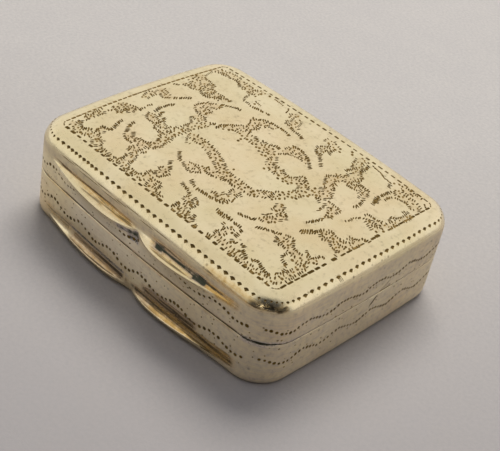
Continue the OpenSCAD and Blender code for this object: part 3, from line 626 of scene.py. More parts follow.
# Engraved panel, as seen on the lid's flat: paths of short cuts, kind then points, and single dots
PATHS = """
n -13.6,9.1 -13.3,9.6 -12.7,9.75 -12,9.5  k -11.9,9.75 -11.3,9.8 -10.9,9.7 -10.6,9.4 -10.35,9.1
t -14.3,9 -14,8.7 -13.9,8.2 -13.8,7.6  n -13.6,7.3 -13.1,7.15 -12.5,7.2 -12,7.1 -11.6,6.9
n -12.4,6.85 -12.25,6.4 -12.3,6  n -11.8,6.1 -11.4,6.4 -11,6.4 -10.8,6.1 -10.8,5.7 -10.9,5.4
n -11.6,5.9 -11.3,5.8  k -12.2,5.25 -11.8,5.1 -11.4,4.85 -11,4.8 -10.6,5 -10.3,5.2
k -10.3,5.6 -9.9,5.75 -9.5,5.95  k -9.9,6.1 -9.4,6.3 -9.05,6.5 -8.7,6.25  n -10.2,5.95 -9.8,6.3
n -13.7,4.8 -13.3,4.7 -12.8,4.55 -12.4,4.7  n -14.2,3.5 -14,3.75 -13.7,3.95
k -7.1,6.2 -7.5,6.15 -7.8,5.95 -8.2,5.7 -8.6,5.4 -8.9,5.15  k -8.75,5.05 -8.5,4.75 -8.6,4.4
n -9.2,4.85 -9.35,4.6 -9.65,4.2 -10,3.8 -10.15,3.2 -10.1,2.6
n -9.8,2.4 -9.3,2.2 -9,2.05 -8.5,2.05 -8,2.15 -7.7,1.85 -7.4,1.75  n -9,3.95 -8.85,3.75
n -8.4,3.6 -8.4,3.2 -8.5,2.55 -8.2,2.4  k -7.1,1.9 -6.7,2.1 -6.5,2.35
k -6.2,1.8 -6.1,2.2 -6.2,2.6 -6,2.9 -5.8,3.25  n -5.6,3.4 -5.4,3.65 -5.35,4 -5.2,4.3 -4.9,4.4
k -11.3,3.3 -11.55,2.95 -11.75,2.55 -12,2.1 -12.2,1.75  n -12.4,1.45 -12.6,1.2 -12.9,.85 -13.3,1 -13.6,1.2
t -13.9,1.7 -13.4,1.5 -12.9,1.6  t -14.1,1.3 -13.8,.6
k -11.3,1 -11.45,.6 -11.5,.1 -11.55,-.3 -11.5,-.9 -11.35,-1.2 -11.25,-1.6
n -8.75,8.95 -8.65,8.5 -8.6,8.1 -8.3,7.8 -7.9,7.8 -7.4,7.75  k -7.2,7.65 -6.8,7.75 -6.3,7.9 -5.7,8
n -5.7,8 -5.4,8.1 -4.9,8.1  t -7.6,8.75 -7.1,8.65 -6.6,8.6  t -6.9,10.8 -6.2,10.8 -5.5,10.7
s -4.8,10.75 -4.55,10.3 -4.35,9.9  n -8.85,1.1 -8.5,.7 -8.2,.5 -8,.2 -8,-.4 -8.1,-.8
n -6.9,1.2 -6.65,1.4 -6.5,1.1  n -9.1,9.7 -8.85,9.85
k -5.4,6.3 -5,6.5 -4.7,6.95 -4.2,7.2 -3.7,7.3 -3.2,7.35 -2.7,7.4 -2.2,7.4 -1.8,7.35 -1.5,7.3 -1.2,7.15
s -5.35,5.9 -5.1,5.5 -4.85,5  n -4.8,5.1 -4.7,4.6 -4.9,4.4  n -3.9,6.3 -3.65,6.7 -3.35,6.5 -2.95,6.7
n -4,6.2 -3.5,6.1  n -4.4,5.7 -3.9,5.6 -3.8,5.3 -4,4.95 -4.1,4.5 -3.7,4.1  k -3,4.1 -2.7,3.9 -2.2,3.8
k -2.1,4.2 -1.8,4.25 -1.45,4.1  k -1.25,4.3 -1,4.6 -.8,4.75 -.5,4.8 -.1,4.7  n 0,5.25 0,5.6 .05,6
k .1,6.2 .5,6.35 1.1,6.4 1.6,6.25 2.2,6 2.5,5.8 2.8,5.6 3,5.4 3.3,5.2 3.65,4.8  t 1.1,5.9 1.6,5.75 2,5.5
t .8,4.8 1.3,5.1 1.9,5.2  n .7,4.9 .5,4.4 .2,4  n .3,3.2 .3,2.6 .5,2.3  n .9,2.6 1.3,2.35 1.6,2.2 1.9,2.1
k 2.3,2.5 2.7,2.3 3,2.2 3.4,2.15  n 3.5,2.1 3.8,2.6 4,3.2 4.3,3.45 4.6,3.3 4.8,3
n 1.45,8.1 1.45,8.5 1.75,8.95 2.3,9.2  n 2.3,8.4 2.4,8.8  n 2.6,9.1 2.8,8.7 3,8.2  t 1.6,8.1 1.9,8.4 2.2,8
k 1.7,7.8 2.2,7.5 2.6,7.3 3,7 3.3,6.7 3.6,6.4 3.9,6.1  k 2.3,7.7 2.7,7.5  t 1,10.3 1,9.9 1.2,9.6
n -3.35,9.2 -3.35,8.8 -3,8.5 -2.6,8.6  k -2.3,8.45 -1.9,8.3 -1.5,8.25 -1,8.25 -.6,8.15 -.3,7.95
t -2,9.1 -2.1,9.5 -2.3,10 -2.5,10.3  n 5,10 5.1,9.6 5.2,9.2 5.5,9.1
k 5.95,9.1 5.9,8.7 5.8,8.3 5.6,7.9 5.75,7.6  k 6.15,7.45 6.3,7.1
n 6.3,6.75 5.9,6.4 5.6,6.1 5.3,5.8 5.2,5.4 5.5,5.1 5.7,4.7 6,4.3 6,4  t 6.2,6.9 6.6,6.6 6.9,6.2
k 6.4,10.3 6.5,9.9 6.6,9.4 6.6,9 6.65,8.7  n 6.7,8.7 7,8.4 7.3,8.3 7.6,8.1 7.5,7.7 7.4,7.4
k 7.5,7.4 7.9,7.2 8.3,7.15 8.8,7.15 9.2,7.1  n 7.3,6.5 7.7,6.7 8.1,6.65  n 7.2,6.1 7.6,6.1 8,6.1 8.4,6.2
n 8.5,6.75 8.65,6.3 8.95,6.5 9.05,6  n 9.2,6.8 9.4,6.6 9.6,6.2  n 9,6 9.1,5.7 9.25,5.45
k 9.5,5.9 9.7,5.6 9.9,5.2 10,4.8 10,4.3 9.9,4  s 6.6,10.7 7,10.6 7.6,10.55 8,10.35 8.4,10.15 9,10.1 9.4,10
k 9.4,10 9.6,9.65 9.7,9.3  n 6.2,5.6 6.5,5.4 6.5,5.1 6.4,4.85 6.9,4.7 7,4.3 6.9,4.05  n 6.2,4 6.7,4
n 6.1,3.6 6.3,3.4  n 7.2,3.7 7.5,3.6 7.8,3.4 7.9,3.1 7.6,2.9  n 7.6,2.7 7.8,2.4
n 8,2.6 8.4,2.6 8.8,2.6 9.2,2.6 9.6,2.45  n 8.1,2.1 8.3,1.8 8.4,1.3 8.4,.9 8.6,.6  n 9.7,2.3 9.7,1.8
n 9.2,.85 9.6,.9 9.8,.6  n 7,2 7.4,1.9 7.8,1.7  k 9.4,.3 9.6,.1 9.4,-.3 9.45,-.5 9.3,-.8 9.2,-1.2 9,-1.5
k 10.35,9 10.3,8.6 10.2,8.2 10.2,7.8 10.2,7.4 10.2,7 10.4,6.6 10.5,6.2 10.65,5.7
k 10.35,7.1 10.55,6.7 10.65,6.3  n 10.9,8.3 10.8,7.9 10.8,7.4
n 11.1,8.5 11.5,8.6 11.9,8.8 12.3,8.85 12.7,8.7 13.1,8.5 13.4,8.65
n 13.2,8 13.4,7.5 13.4,7 13.4,6.5 13.2,6.1 12.8,5.8 13,5.5 13.3,5.2  n 13,7.7 13.05,7.3
n 12.9,4.7 12.6,4.4 12.2,4.35 11.8,4.3 11.4,4.3 11.3,4  n 11.4,3.4 11.2,3 11,2.6 11.1,2.2 10.9,1.8 10.9,1.4
k 11.3,3.3 11.15,2.9  s 13.4,10.2 13.85,9.85  n 13.6,9.1 13.9,8.7  k 13.4,1.1 13.8,1.2 14.2,1.45
n 12.6,.3 13,.4 13.3,.6 13.6,.8  t 12.7,-.1 13.1,.1 13.5,.2
n -11.5,-2 -11.3,-2.4 -10.9,-2.9 -10.6,-3 -10.2,-2.9 -9.95,-2.75
k -10.9,-.8 -10.7,-1.1 -10.6,-1.5 -10.3,-1.85  k -10,-1.5 -9.7,-1.6 -9.5,-2 -9.6,-2.3 -9.7,-2.65
n -9.5,-2 -9.2,-2.1 -8.95,-2.2  n -8.5,-1.9 -8.5,-2.3 -8.6,-2.7  n -8.2,-1.4 -8.2,-1.85
n -9.5,-2.9 -9.4,-3.3 -9,-3.4 -8.6,-3.3 -8.2,-3.3 -8,-3.6 -7.9,-4.1  k -7.65,-4.2 -7.2,-4.7
n -12.4,-.9 -12.4,-1.3 -12.5,-1.6  k -12.3,-1.9 -12.3,-2.4 -12.2,-2.8
n -13.1,-2.7 -12.7,-2.5 -12.5,-3 -12.3,-3.4  n -14.2,-3.7 -13.8,-3.5 -13.4,-3.6
k -13.4,-3.6 -12.9,-3.75 -12.5,-3.8 -12.3,-4  t -14,-3.2 -13.4,-3.2 -12.9,-3.3
n -14.1,-4.5 -13.5,-4.55 -13.1,-4.6 -12.7,-4.4  n -13.6,-5 -13.7,-5.4
n -13.7,-5.7 -13.5,-6 -13.5,-6.4 -13.9,-6.4 -14,-6  n -13.9,-6.9 -13.9,-7.3
n -14,-7.9 -13.6,-7.7 -13.4,-7.9 -13.5,-8.3
k -13.6,-8.5 -13.4,-8.8 -13.1,-9.1 -12.7,-9.25 -12.4,-9.2 -12.2,-8.8 -11.9,-8.7  n -13.7,-8.7 -13.5,-9.2
k -11.7,-5.2 -11.6,-5.6 -11.5,-6 -11.3,-6.4 -11.1,-6.8 -11,-7.2
k -11.1,-7.3 -11.5,-7.4 -11.8,-7.5 -11.8,-7.8 -11.6,-8.1 -11.65,-8.5
n -11.1,-7.8 -10.9,-8.1 -11.1,-8.5 -10.8,-8.6
k -10.8,-4.5 -10.8,-4.9 -10.6,-5.3 -10.4,-5.6 -10.2,-5.9 -10,-6.2
n -9.9,-6.5 -9.5,-6.75 -9.1,-6.95 -8.7,-6.85 -8.35,-6.9  k -9.6,-5.6 -9.4,-5.8 -9.1,-6.1 -9,-6.4
n -8.8,-6 -8.5,-6.3 -8.4,-6.6  n -8.5,-5.7 -8.2,-5.8 -7.9,-5.7 -7.65,-5.7  n -7.4,-5.5 -7.1,-5.6 -7,-6
n -7.2,-6.1 -7,-6.5  n -7.9,-7 -7.9,-7.4 -8.1,-7.6 -7.7,-7.9 -7.4,-7.9  n -7.2,-8.1 -6.9,-8.2 -6.5,-8.1
n -6.5,-6.7 -6.6,-7.1 -6.8,-7.3  k -6.8,-7.5 -6.8,-7.8
k -7.2,-8.4 -7,-8.8 -6.9,-9.2 -7,-9.5 -7.2,-9.7 -7.5,-9.85  n -6.3,-8.2 -6.1,-8.5 -6,-9 -5.9,-9.3 -5.8,-9.55
n -9.95,-8.8 -9.7,-9.2 -9.5,-9.6 -9.3,-9.8  k -9.8,-9.9 -9.55,-10.2  k -9,-10 -8.55,-10.25
k -8.25,-9.8 -8,-10 -7.8,-10.2  k -7.2,-9.8 -6.75,-9.85  k -5.5,-9.8 -5.2,-10 -4.9,-9.9 -4.5,-10.05
n -7.5,-.6 -7.2,-.8 -6.9,-1  n -6.7,-4 -6.6,-4.6 -6.4,-4.9 -6.5,-5.2 -6.8,-5.4
t -6.6,-1.2 -6.2,-2 -5.7,-2.4 -5.3,-2.1  k -5,-3.9 -4.7,-4.2 -4.4,-4.5 -4.1,-4.7 -3.8,-4.8
n -3.6,-4.8 -3.2,-5 -2.9,-5.2 -2.6,-5.2 -2.3,-5.3 -2,-5.15 -1.8,-5 -1.6,-4.7 -1.45,-4.4
n -2.4,-4.85 -2.1,-4.5 -2.25,-4.2 -1.85,-4.1  t -3.2,-4.3 -2.8,-4.1 -2.3,-3.9
n -1.6,-3.9 -1.1,-4 -.7,-4 -.35,-3.85  k 0,-3.3 .4,-3.5 .8,-3.2 1.1,-3.2 1.4,-3.4 1.7,-3.3
n 2,-3.6 2,-4 2.1,-4.3 2.5,-4.6  n 2.7,-3.6 3.2,-3.9  n 1.8,-4.8 2.2,-5  s 3,-4.5 3.2,-4.9 3.35,-5.3
k 1.2,-5.7 1.5,-5.5 1.9,-5.6 2.1,-5.9  n 2.4,-5.6 2.8,-5.4 2.9,-5.9
k -1.15,-6 -.8,-6.2 -.5,-6.35 0,-6.45 .4,-6.45 .9,-6.4 1.3,-6.35 1.7,-6.35 2.1,-6.2 2.5,-6.1 2.9,-5.9
k -1.2,-7 -.9,-7.2 -.4,-7.2 0,-7.35 .4,-7.6 .7,-7.8  n 1,-7.5 1.4,-7.7 1.8,-7.8 2,-8.2 2.05,-8.7 2,-9.05
t .6,-7.9 .4,-8.2 .5,-8.5 .8,-8.7  n 1.3,-8.7 1.8,-8.6  n 1.2,-9 1.6,-9.1
k .8,-9.2 .9,-9.7 .9,-10.1 .8,-10.3  n 2.1,-9.4 2.6,-9.5  k 2.9,-9.2 3.1,-9.6 3.3,-9.9 3.6,-10.1
k 3.8,-10.15 4.3,-10.35  k -4.3,-5.6 -4.1,-5.9 -3.8,-6.2 -3.5,-6.4 -3.2,-6.7  n -3.9,-6.8 -4.1,-7.1 -4,-7.5
n -2.8,-7.1 -2.7,-7.5 -2.9,-7.9 -3,-8.4  k -3.85,-7.8 -3.5,-8.25  n -4.1,-8.2 -4.1,-8.6 -4,-9 -3.9,-9.3
n -4.2,-9.5 -4.6,-9.6 -5,-9.65  n -2.9,-8.9 -2.5,-8.8 -2,-8.7  k -2,-8.7 -1.8,-9.1 -1.7,-9.55
n -1.5,-9.9 -.9,-10.1 -.55,-9.9  k 3.35,-7 3.8,-7.1 4.2,-7 4.6,-6.95 5,-7.1 5.3,-6.9
n 3.6,-7.3 4.3,-7.3 4.8,-7.25  n 3.95,-1.5 4,-1.95  k 4.5,-.9 4.5,-1.3 4.6,-1.7  n 5.8,-2.1 6,-2.4 6,-2.9
n 6.7,-2.1 7,-2.15 7.4,-2.3 7.7,-2.6 7.9,-2.85  n 7.5,-3.1 7.7,-3.4  s 6.4,-3.3 6.3,-3.8 5.95,-4.2
n 6.3,-4.7 6.85,-4.7  k 4.8,-5.8 5.2,-5.7 5.6,-5.5 6,-5.3 6.4,-5.05
k 7.1,-5.8 7.4,-5.6 7.8,-5.3 8.2,-5.1 8.6,-4.9 8.9,-4.7 9.1,-4.5
n 9.3,-4.4 9.7,-4.2 10,-4.2 10.3,-4.4 10.6,-4.8 10.9,-5.1 11.3,-5.2 11.6,-5.1
k 9.1,-5.2 9.3,-5.6 9.5,-5.9 9.9,-5.8  n 10.2,-5.7 10.7,-5.75
n 11.7,-4.3 12,-4.6 12.4,-4.7 12.85,-4.8 13,-4.3 13,-3.9 13.45,-3.8  k 11.1,-6.1 11.1,-6.6 11.3,-6.9
k 11.5,-7.1 11.8,-7.2 12.2,-7.4 12.3,-7.65  n 12.5,-7.8 12.7,-8.2 12.6,-8.6 12.4,-8.95
k 12.3,-9.4 11.9,-9.5 11.5,-9.4 11.1,-9.3 10.8,-9.1 10.4,-9 10.1,-9.2 10,-9.5
k 9.7,-9.7 9.3,-9.4 9,-9.2 8.7,-9.1 8.5,-8.7 8.2,-8.5 7.9,-8.7 7.6,-8.9 7.3,-9 7.1,-8.75
k 7.05,-8.4 6.9,-8 6.8,-7.6 6.7,-7.2  k 6.4,-7.05 6,-7 5.6,-7.1
n 5.1,-7.7 5.2,-8.2 5.7,-8.3 5.7,-8.7 5.5,-9.1 5.7,-9.6  k 5.4,-10.1 5.95,-10.1
k 9.5,-2.9 9.8,-2.6 10,-2.3 10.2,-1.9 10.5,-1.6 10.6,-1.2 10.7,-.85  n 9.85,-2.9 10.3,-2.3 10.65,-1.75
n 10.9,-.6 11.3,-.5 11.7,-.7 12.1,-.7
n 10.9,-1.7 11.2,-2 11.6,-2 12,-1.6 12.4,-2 12.8,-2.2 13.2,-2.1 13.5,-2.4 13.75,-2.85
"""
DOTS = """
-12.6,10.4 -10.8,10.3 -9.6,10.35 -8.7,10.65 -8.25,10.2 -8.25,9.4 -9.95,9.6 -9.95,9.2 -7.25,8.3 -7.5,10.75
-14.25,6.75 -13.3,6.4 -14,6.05 -13.6,5.6 -12.8,5.2 -8.9,2.8 -9.5,2.95 -5.8,2.6 -5.2,2.7 -5,3 -4.85,3.5
-5.6,2.3 -13.85,.25 -7.85,1.15 -7.4,.25 -6.85,.6 -7.05,-.2 -4.3,4.25 -4.2,3.2 -3.8,3.1 -3.5,3.5 -3.1,3.1
-2.8,3.4 -2.3,3 -2.05,3.3 -1.7,2.95 -1.4,3.1 -.9,3.6 -.6,4.15 -.75,2.85 -.3,3.2 -.2,2.7 .1,3.6 -3.45,2.6
-3.4,2.2 -.5,2.5 -1.1,2.7 1.25,5.75 1.8,5.6 1,2 1.4,1.55 2.1,1.65 2.7,1.5 3.3,1.45 3.75,1.45 4.2,1.7
4.55,2.05 4.4,2.55 4.8,2.4 3.6,1.15 1.2,1.1 4.1,1.3 3,1.1 2.1,10.3 2.9,10.05 4.2,10.35 3.9,10.7 3.2,9.6
2.7,9.5 1.6,9.75 -3.4,10.3 -2.6,9.6 -3.7,9.7 5.2,10.75 5.7,10.1 6,10.7 6.3,8.1 7.3,7.5 6,3 6.1,2.5 7,3.05
6.8,2.3 8.9,2 9.2,1.25 9.75,1.2 12.2,3.6 13.1,4 13.5,3 13.85,3.6 11.6,10.35 10.8,10.15 10.4,9.5 11.2,9.05
9.6,10.3 10,10.6 11.3,10.75 12.7,9.3 13.4,-.1 4.8,-.1 5.25,.2 5.5,-.15 5,.5 5.5,1 5.85,1.05 5.6,1.6 5.9,1.8
6.4,1.8 6.2,1.2 6.45,1.5 5.2,2.6 5.4,2.35 5.1,3 6.1,.3 5.8,.1 -14.1,-.5 -13.9,-.85 -10.6,-2.3 -11.5,-9.5
-10.5,-9.4 -10.4,-9.15 -12.1,-9.9 -13.2,-9.9 -7.6,-1.3 -7.3,-1.4 -7.3,-1.9 -7.8,-2.5 -7.3,-2.5 -7.2,-2.9
-7.4,-3.5 -7.05,-3.5 -7,-3.9 -7.2,-5.1 -6.6,-10.1 -5.9,-.8 -5.5,-.65 -5.8,-1.3 -4.9,-.75 -4.9,-1.05
-4.9,-1.4 -4.4,-.7 -3.9,-.8 -3.4,-1 -2.9,-1.35 -2.4,-1.2 -2.4,-1.7 -2.7,-2.1 -1.9,-1.6 -1.7,-2.1 -1.3,-1.9
-1.1,-2.4 -1.4,-2.7 -.75,-2.2 -.4,-2.6 -.5,-3 -.85,-3.5 -1.7,-3.3 -2.1,-3.7 .2,-2.8 .4,-2.5 .85,-2.85
1.2,-2.55 1.7,-2.8 1.8,-2.5 2.4,-2.6 2.5,-2.25 2.4,-3.05 3.2,-2.3 3.2,-2.6 3.35,-1.9 -.2,-1.5 -.15,-2.4
3.2,-5.6 1.25,-8.4 1.5,-9.9 2.75,-10.25 2.5,-10 -3.2,-7.2 -3.1,-9.1 -3.5,-10 -2.4,-9.9 -.8,-10.35 3.6,-2.6
3.8,-2.8 4.9,-.2 4.9,-.6 5.3,-1.05 5,-1.7 6.1,-1.5 6.4,-2.6 7.1,-2.75 7.2,-3.5 7.5,-3.9 6.8,-4.25 7.2,-4.4
9.8,-5.2 10.4,-5.25 11.2,-5.85 13.3,-5.1 12.2,-5.6 13.1,-6.1 12,-6.4 13.1,-6.9 13.3,-8 13.2,-8.9 12.9,-9.9
11.7,-10.1 10.2,-10.2 8.65,-10 7.2,-10 8.6,-9.4 5.9,-7.7 6.5,-8.2 6.1,-9.3 7.4,-9.25 11.2,-1.2 12,-1.15
12.6,-.85 13.1,-1.6 13.4,-1.05
"""

# The ground between the leaves, filled with fine punch marks: a reach, then the bends of each band
GROUND = """
.5 -14,9.5 -12,10.1 -10,9.9 -9,9.6 -8.5,10.5  .6 -14,7 -12.8,6.6 -11,5.7 -9.5,6  .6 -14,6 -12.2,5.4
.3 -13.8,4.6 -12.4,4.9  .55 -14,1.6 -12.6,1.3  .4 -14,.6 -13.8,-.6  .5 -9.6,3.9 -8.8,4.6
.6 -9.7,2.9 -8.6,2.8  .55 -8.5,1.6 -7,1.4 -7.5,0 -7.5,-1 -7.5,-3 -7,-4.3 -6.8,-5 -7.3,-6
.45 -5,6.1 -4.2,6.5 -3.3,6.9  .5 -4.6,5.6 -4.5,4.4 -5.5,3.1  .5 -4.8,3.6 -4,3.6 -2,3.4 -.6,3.7 .2,3.2 1,2.3
.45 .4,5 .6,5.9 1.8,5.8 2.6,5.5
.55 1.2,2 2.5,1.8 3.8,1.7 4.5,2.5 5.2,2.3 5.8,1.4 5.5,.4 5,-.5 4.5,-1.4 3.8,-2 3.2,-2.6 2,-2.7 .5,-2.7
.55 .5,-2.7 -.6,-2.6 -1.8,-1.9 -3,-1.4 -4.5,-1 -6.5,-1.1  .5 -2.9,9.9 -2.5,9.1 -2,8.6  .4 -3.7,10 -3.5,10.6
.5 2,8.3 2.3,9 2.5,9.8 1.5,10.1
.55 5.3,10.4 5.6,9.5 6.2,8.8 6.8,7.9 6.8,7 6,6.3 6,5.4 6.5,4.5 7.2,3.4 7.2,2.6 6.2,2.5
.45 7.3,6.4 8.6,6.6 9.3,6.2  .45 8.5,2.4 9.3,1.9 9.5,.8  .5 10.5,9.7 11.2,9.2 12.5,9.4 13.5,9
.4 10.6,10.4 12.6,10.3  .35 13.7,7.8 13.7,6 13.6,4.6  .45 13.4,4.2 12.5,3.7 11.8,3.8 13.2,3.2
.45 13.6,.4 13.5,-.8 12,-1.1 11,-1.3  .4 11.8,-1.6 13.6,-1.7  .65 -13.8,-3.6 -12.7,-3.2
.3 -13.8,-4.4 -12.8,-4.5  .45 -11.1,-2.2 -10.4,-2.5 -9.4,-2.6 -8.6,-2.5 -8.1,-3.4
.35 -13.9,-5.6 -13.8,-7 -13.8,-8  .45 -13.6,-9.5 -12.4,-9.8 -11.2,-9.2 -10.6,-9.2 -9.9,-9.8
.35 -11.4,-7.8 -11.2,-8.6
.4 -9.5,-6.3 -8.6,-6.4 -7.6,-6 -7.4,-6.8 -7.4,-7.6 -6.8,-8 -6.5,-8.8 -6.5,-9.6 -5.4,-9.9 -4.4,-9.8
  -3.6,-9.4 -3.5,-8.4 -3.4,-7.4 -3.6,-6.7  .25 -9.2,-10 -7.6,-10 -6.6,-10
.4 -3,-4.7 -2.1,-4.5 -1.5,-3.9 -.5,-3.5 .6,-3.2  .45 2.3,-3.4 2.6,-4.6 2.6,-5.3 1.9,-5.8
.4 .9,-8.2 1.4,-8.5 1.4,-9.4 2.4,-10 3.2,-10.1 1.1,-10  .4 -2.7,-9.2 -2.4,-10 -1,-10.1
.4 6,-1.6 6.6,-2.5 7.4,-2.8 7.2,-3.6 6.8,-4.4  .4 9.6,-5.1 10.6,-5.4 11.6,-5.6 12.6,-5.3 13.4,-4.6
.4 12.2,-6 13.2,-6.2 13.2,-7.6 13.3,-9 12.8,-9.9  .3 12.8,-10 10,-10.1 7.4,-9.8 6,-9.6 6.1,-8.6 6,-7.7
"""

# Kinds of path: size of a cut, step from cut to cut, width and tone
KINDS = {"k": (0.58, 0.23, 0.18, 1.0), "n": (0.46, 0.23, 0.165, 0.95), "t": (0.38, 0.22, 0.14, 0.8),
         "s": (0.40, 0.25, 0.20, 1.0)}


def point_of(word):
    return tuple(float(v) for v in word.split(","))


def paths_of(text):
    """Paths of a list: a word without a comma starts a path, and its points follow."""
    paths = []
    for word in text.split():
        if "," in word:
            paths[-1][1].append(point_of(word))
        else:
            paths.append((word, []))
    return paths


# Columns and rows of the bands' flat patterns, closer where the shape bends
def grid_lines(start, stop, step):
    n = max(1, int(round((stop - start) / step)))
    return [start + (stop - start) * k / n for k in range(n + 1)]


def columns():
    stops = [0, BREAKS[3], BREAKS[4] - 0.5, BREAKS[5] + 0.5, BREAKS[7], LEN]
    found = []
    for a, b, step in zip(stops, stops[1:], (0.5, 0.35, 0.2, 0.35, 0.5)):
        found += grid_lines(a, b, step)[:-1]
    return found + [LEN]


COLUMNS = columns()
LID_ROWS = [0.02, 0.045, 0.07, 0.3, 0.6, 0.9, 1.2, 1.5, 1.75, 1.95, 2.08, 2.14, 2.19, 2.23, 2.27, 2.32, 2.38,
            2.46, 2.56, 2.66, 2.76, 2.86, 2.96, 3.06, 3.14, 3.2, 3.26, 3.36] + grid_lines(3.5, LID_T[5], 0.16)
BASE_ROWS = [0.02, 0.045, 0.07, 0.35, 0.7, 1.05, 1.4, 1.75, 2.1, 2.3, 2.45, 2.6, 2.7, 2.8, 2.9, 3.0, 3.12,
             3.2, 3.3, 3.42, 3.54, 3.66, 3.78, 3.9, 4.0, 4.08, 4.15, 4.21, 4.26, 4.3, 4.35, 4.4, 4.46, 4.55,
             4.68, 4.82, 4.98, 5.15, 5.32, 5.5, 5.65, 6.2]
LID_NOTCH, BASE_NOTCH = 0.70, 0.72
HINGE_FROM, HINGE_TO = HINGE_HALF, LEN - HINGE_HALF
SIDE_GAP, NOTCH_GAP, END_GAP = 0.1, 0.05, 0.02


def band_rim(stops, notch, rows):
    """Outline of a band's flat pattern, with the hinge's cut-out at both ends."""
    left, right = HINGE_FROM, HINGE_TO
    low = [(s, notch) for s in COLUMNS if s < left - SIDE_GAP] + [(left, notch), (left, 0.0)]
    low += [(s, 0.0) for s in COLUMNS if left + SIDE_GAP < s < right - SIDE_GAP]
    low += [(right, 0.0), (right, notch)] + [(s, notch) for s in COLUMNS if s > right + SIDE_GAP]
    ends = [t for t in rows if notch + NOTCH_GAP < t < stops[-1] - END_GAP]
    high = [(s, stops[-1]) for s in COLUMNS[::-1]]
    return low + [(LEN, t) for t in ends] + high + [(0.0, t) for t in ends[::-1]]


def band_grid(stops, notch, rows):
    left, right = HINGE_FROM + SIDE_GAP, HINGE_TO - SIDE_GAP
    return [(s, t) for s in COLUMNS[1:-1] for t in rows
            if t < stops[-1] - END_GAP and (t > notch + NOTCH_GAP or left < s < right)]


# From a place along the outline and a height to the flat pattern
def on_lid(s, z):
    return s, (z - LID_BOT) / (float(lid_ridge(np.array(s))) - LIP_T - LID_BOT) * LID_T[1]


def on_base(s, z):
    return s, BASE_TOP - z


def on_edge(angle):
    """Place along the lid's profile of an angle on the rolled edge."""
    return LID_T[4] + EDGE_R * math.radians(angle)


SPECKS = 170


def wave_row(cuts, height_at, to_wall, clear, low, high):
    """A waving row of dots, as clear as stated along the outline, and specks between two heights."""
    places, shares = zip(*clear)
    s = 0.3
    while s < LEN - 0.2:
        right_side = BREAKS[5] + 2 < s < BREAKS[7]
        z = height_at(s) + rng.uniform(-0.05, 0.05)
        much = float(np.interp(s, places, shares))
        size = rng.uniform(0.30, 0.43) * mixed(0.65, 1, much)
        bare = s < HINGE_FROM + 0.4 or s > HINGE_TO - 0.4 or abs(s - BREAKS[5] - 1.45) < 0.62
        if much > 0.05 and not bare:
            slim = 0.84 if right_side else 1.0
            cuts.put("dot", s, z, size * slim, size * 0.95, rng.uniform(-0.5, 0.5), 0.05,
                     rng.uniform(0.8, 1.0) * mixed(0.55, 1, much), warp=to_wall)
        s += rng.uniform(0.46, 0.6) * (0.82 if right_side else 1.0)
    for k in range(SPECKS):
        s = rng.uniform(BREAKS[2], BREAKS[8])
        size = rng.uniform(0.11, 0.22)
        cuts.put("dot", s, mixed(low, high, rng.random()), size, size * 0.8, rng.uniform(-1, 1), 0.03,
                 rng.uniform(0.45, 0.9), warp=to_wall, room=0.3)


def scratch(cuts, y0, z0, y1, z1, wide, tone, to_wall):
    """A long thin scratch on the right side."""
    cuts.put("tick", s_right((y0 + y1) / 2), (z0 + z1) / 2, math.hypot(y1 - y0, z1 - z0), wide,
             math.atan2(z1 - z0, y1 - y0), 0.04, tone, warp=to_wall, room=0.01)


WAVE = 4.25


def waving(mean, swing, front, right):
    """Height of a row of dots that waves along the outline, with crests placed on the front and right."""
    marks = [0, s_front(front), s_right(right), LEN]
    turns = [0]
    for a, b in zip(marks, marks[1:]):
        turns.append(turns[-1] + round((b - a) / WAVE))
    return lambda s: mean + swing * math.cos(2 * math.pi * float(np.interp(s, marks, turns)))


# How clear the lid's dots are along the front, and thin scratches on its edge: x, angle, length, tone
LID_DOTS = ((-12.5, 1.0), (-11.5, 0.7), (-8.6, 0.6), (-8.2, 0.0), (-2.2, 0.0), (-1.8, 0.95), (0.3, 0.9),
            (0.6, 0.0), (5.5, 0.0), (6.5, 0.8), (9, 1.0))
EDGE_LINES = ((-10.2, 16, 2.4, 0.6), (-8.4, 22, 3.4, 0.5), (-7.0, 12, 3.8, 0.7), (-5.2, 19, 2.6, 0.6),
              (-4.0, 9, 3.0, 0.75), (-2.6, 15, 2.0, 0.6), (-1.2, 20, 2.4, 0.5), (0.8, 12, 2.2, 0.7),
              (2.6, 18, 2.6, 0.5))

# Teeth on the edge, and those at the corners: length, width and step; where they sit, and a corner's reach
TOOTH, CORNER_TOOTH = (0.58, 0.39, 0.8), (0.26, 0.2, 0.5)
TEETH_AT, CORNER_REACH = 49.4, 3.2


def edge_cuts():
    """Teeth along the rolled edge, smaller at the corners, and scratches beside them."""
    cuts = Cuts()
    s = 0.2
    while s < LEN:
        corner = min(abs(s - (BREAKS[k] + BREAKS[k + 1]) / 2) for k in (1, 3, 5, 7))
        small = max(0.0, 1 - corner / CORNER_REACH)
        length, wide, step = [mixed(a, b, small) for a, b in zip(TOOTH, CORNER_TOOTH)]
        length *= rng.uniform(0.84, 1.12)
        cuts.put("tooth", s, on_edge(TEETH_AT) + rng.uniform(-0.03, 0.03), length, wide,
                 rng.uniform(-0.15, 0.15), 0.06, rng.uniform(0.72, 0.88), room=0.05)
        front_left = s_front(-11.5) < s < s_front(-7.3)
        s += step * (0.72 if front_left else 1.0)
    for x, high, size, tone in EDGE_LINES:
        cuts.put("tick", s_front(x), on_edge(high), size, 0.07, 0.006, 0.02, tone, room=0.05)
    for k in (-0.16, 0.0, 0.17):
        cuts.put("tick", s_right(-4.4) + k, on_edge(44), 0.95, 0.07, 1.9, 0.03, 0.75, room=0.05)
    return cuts


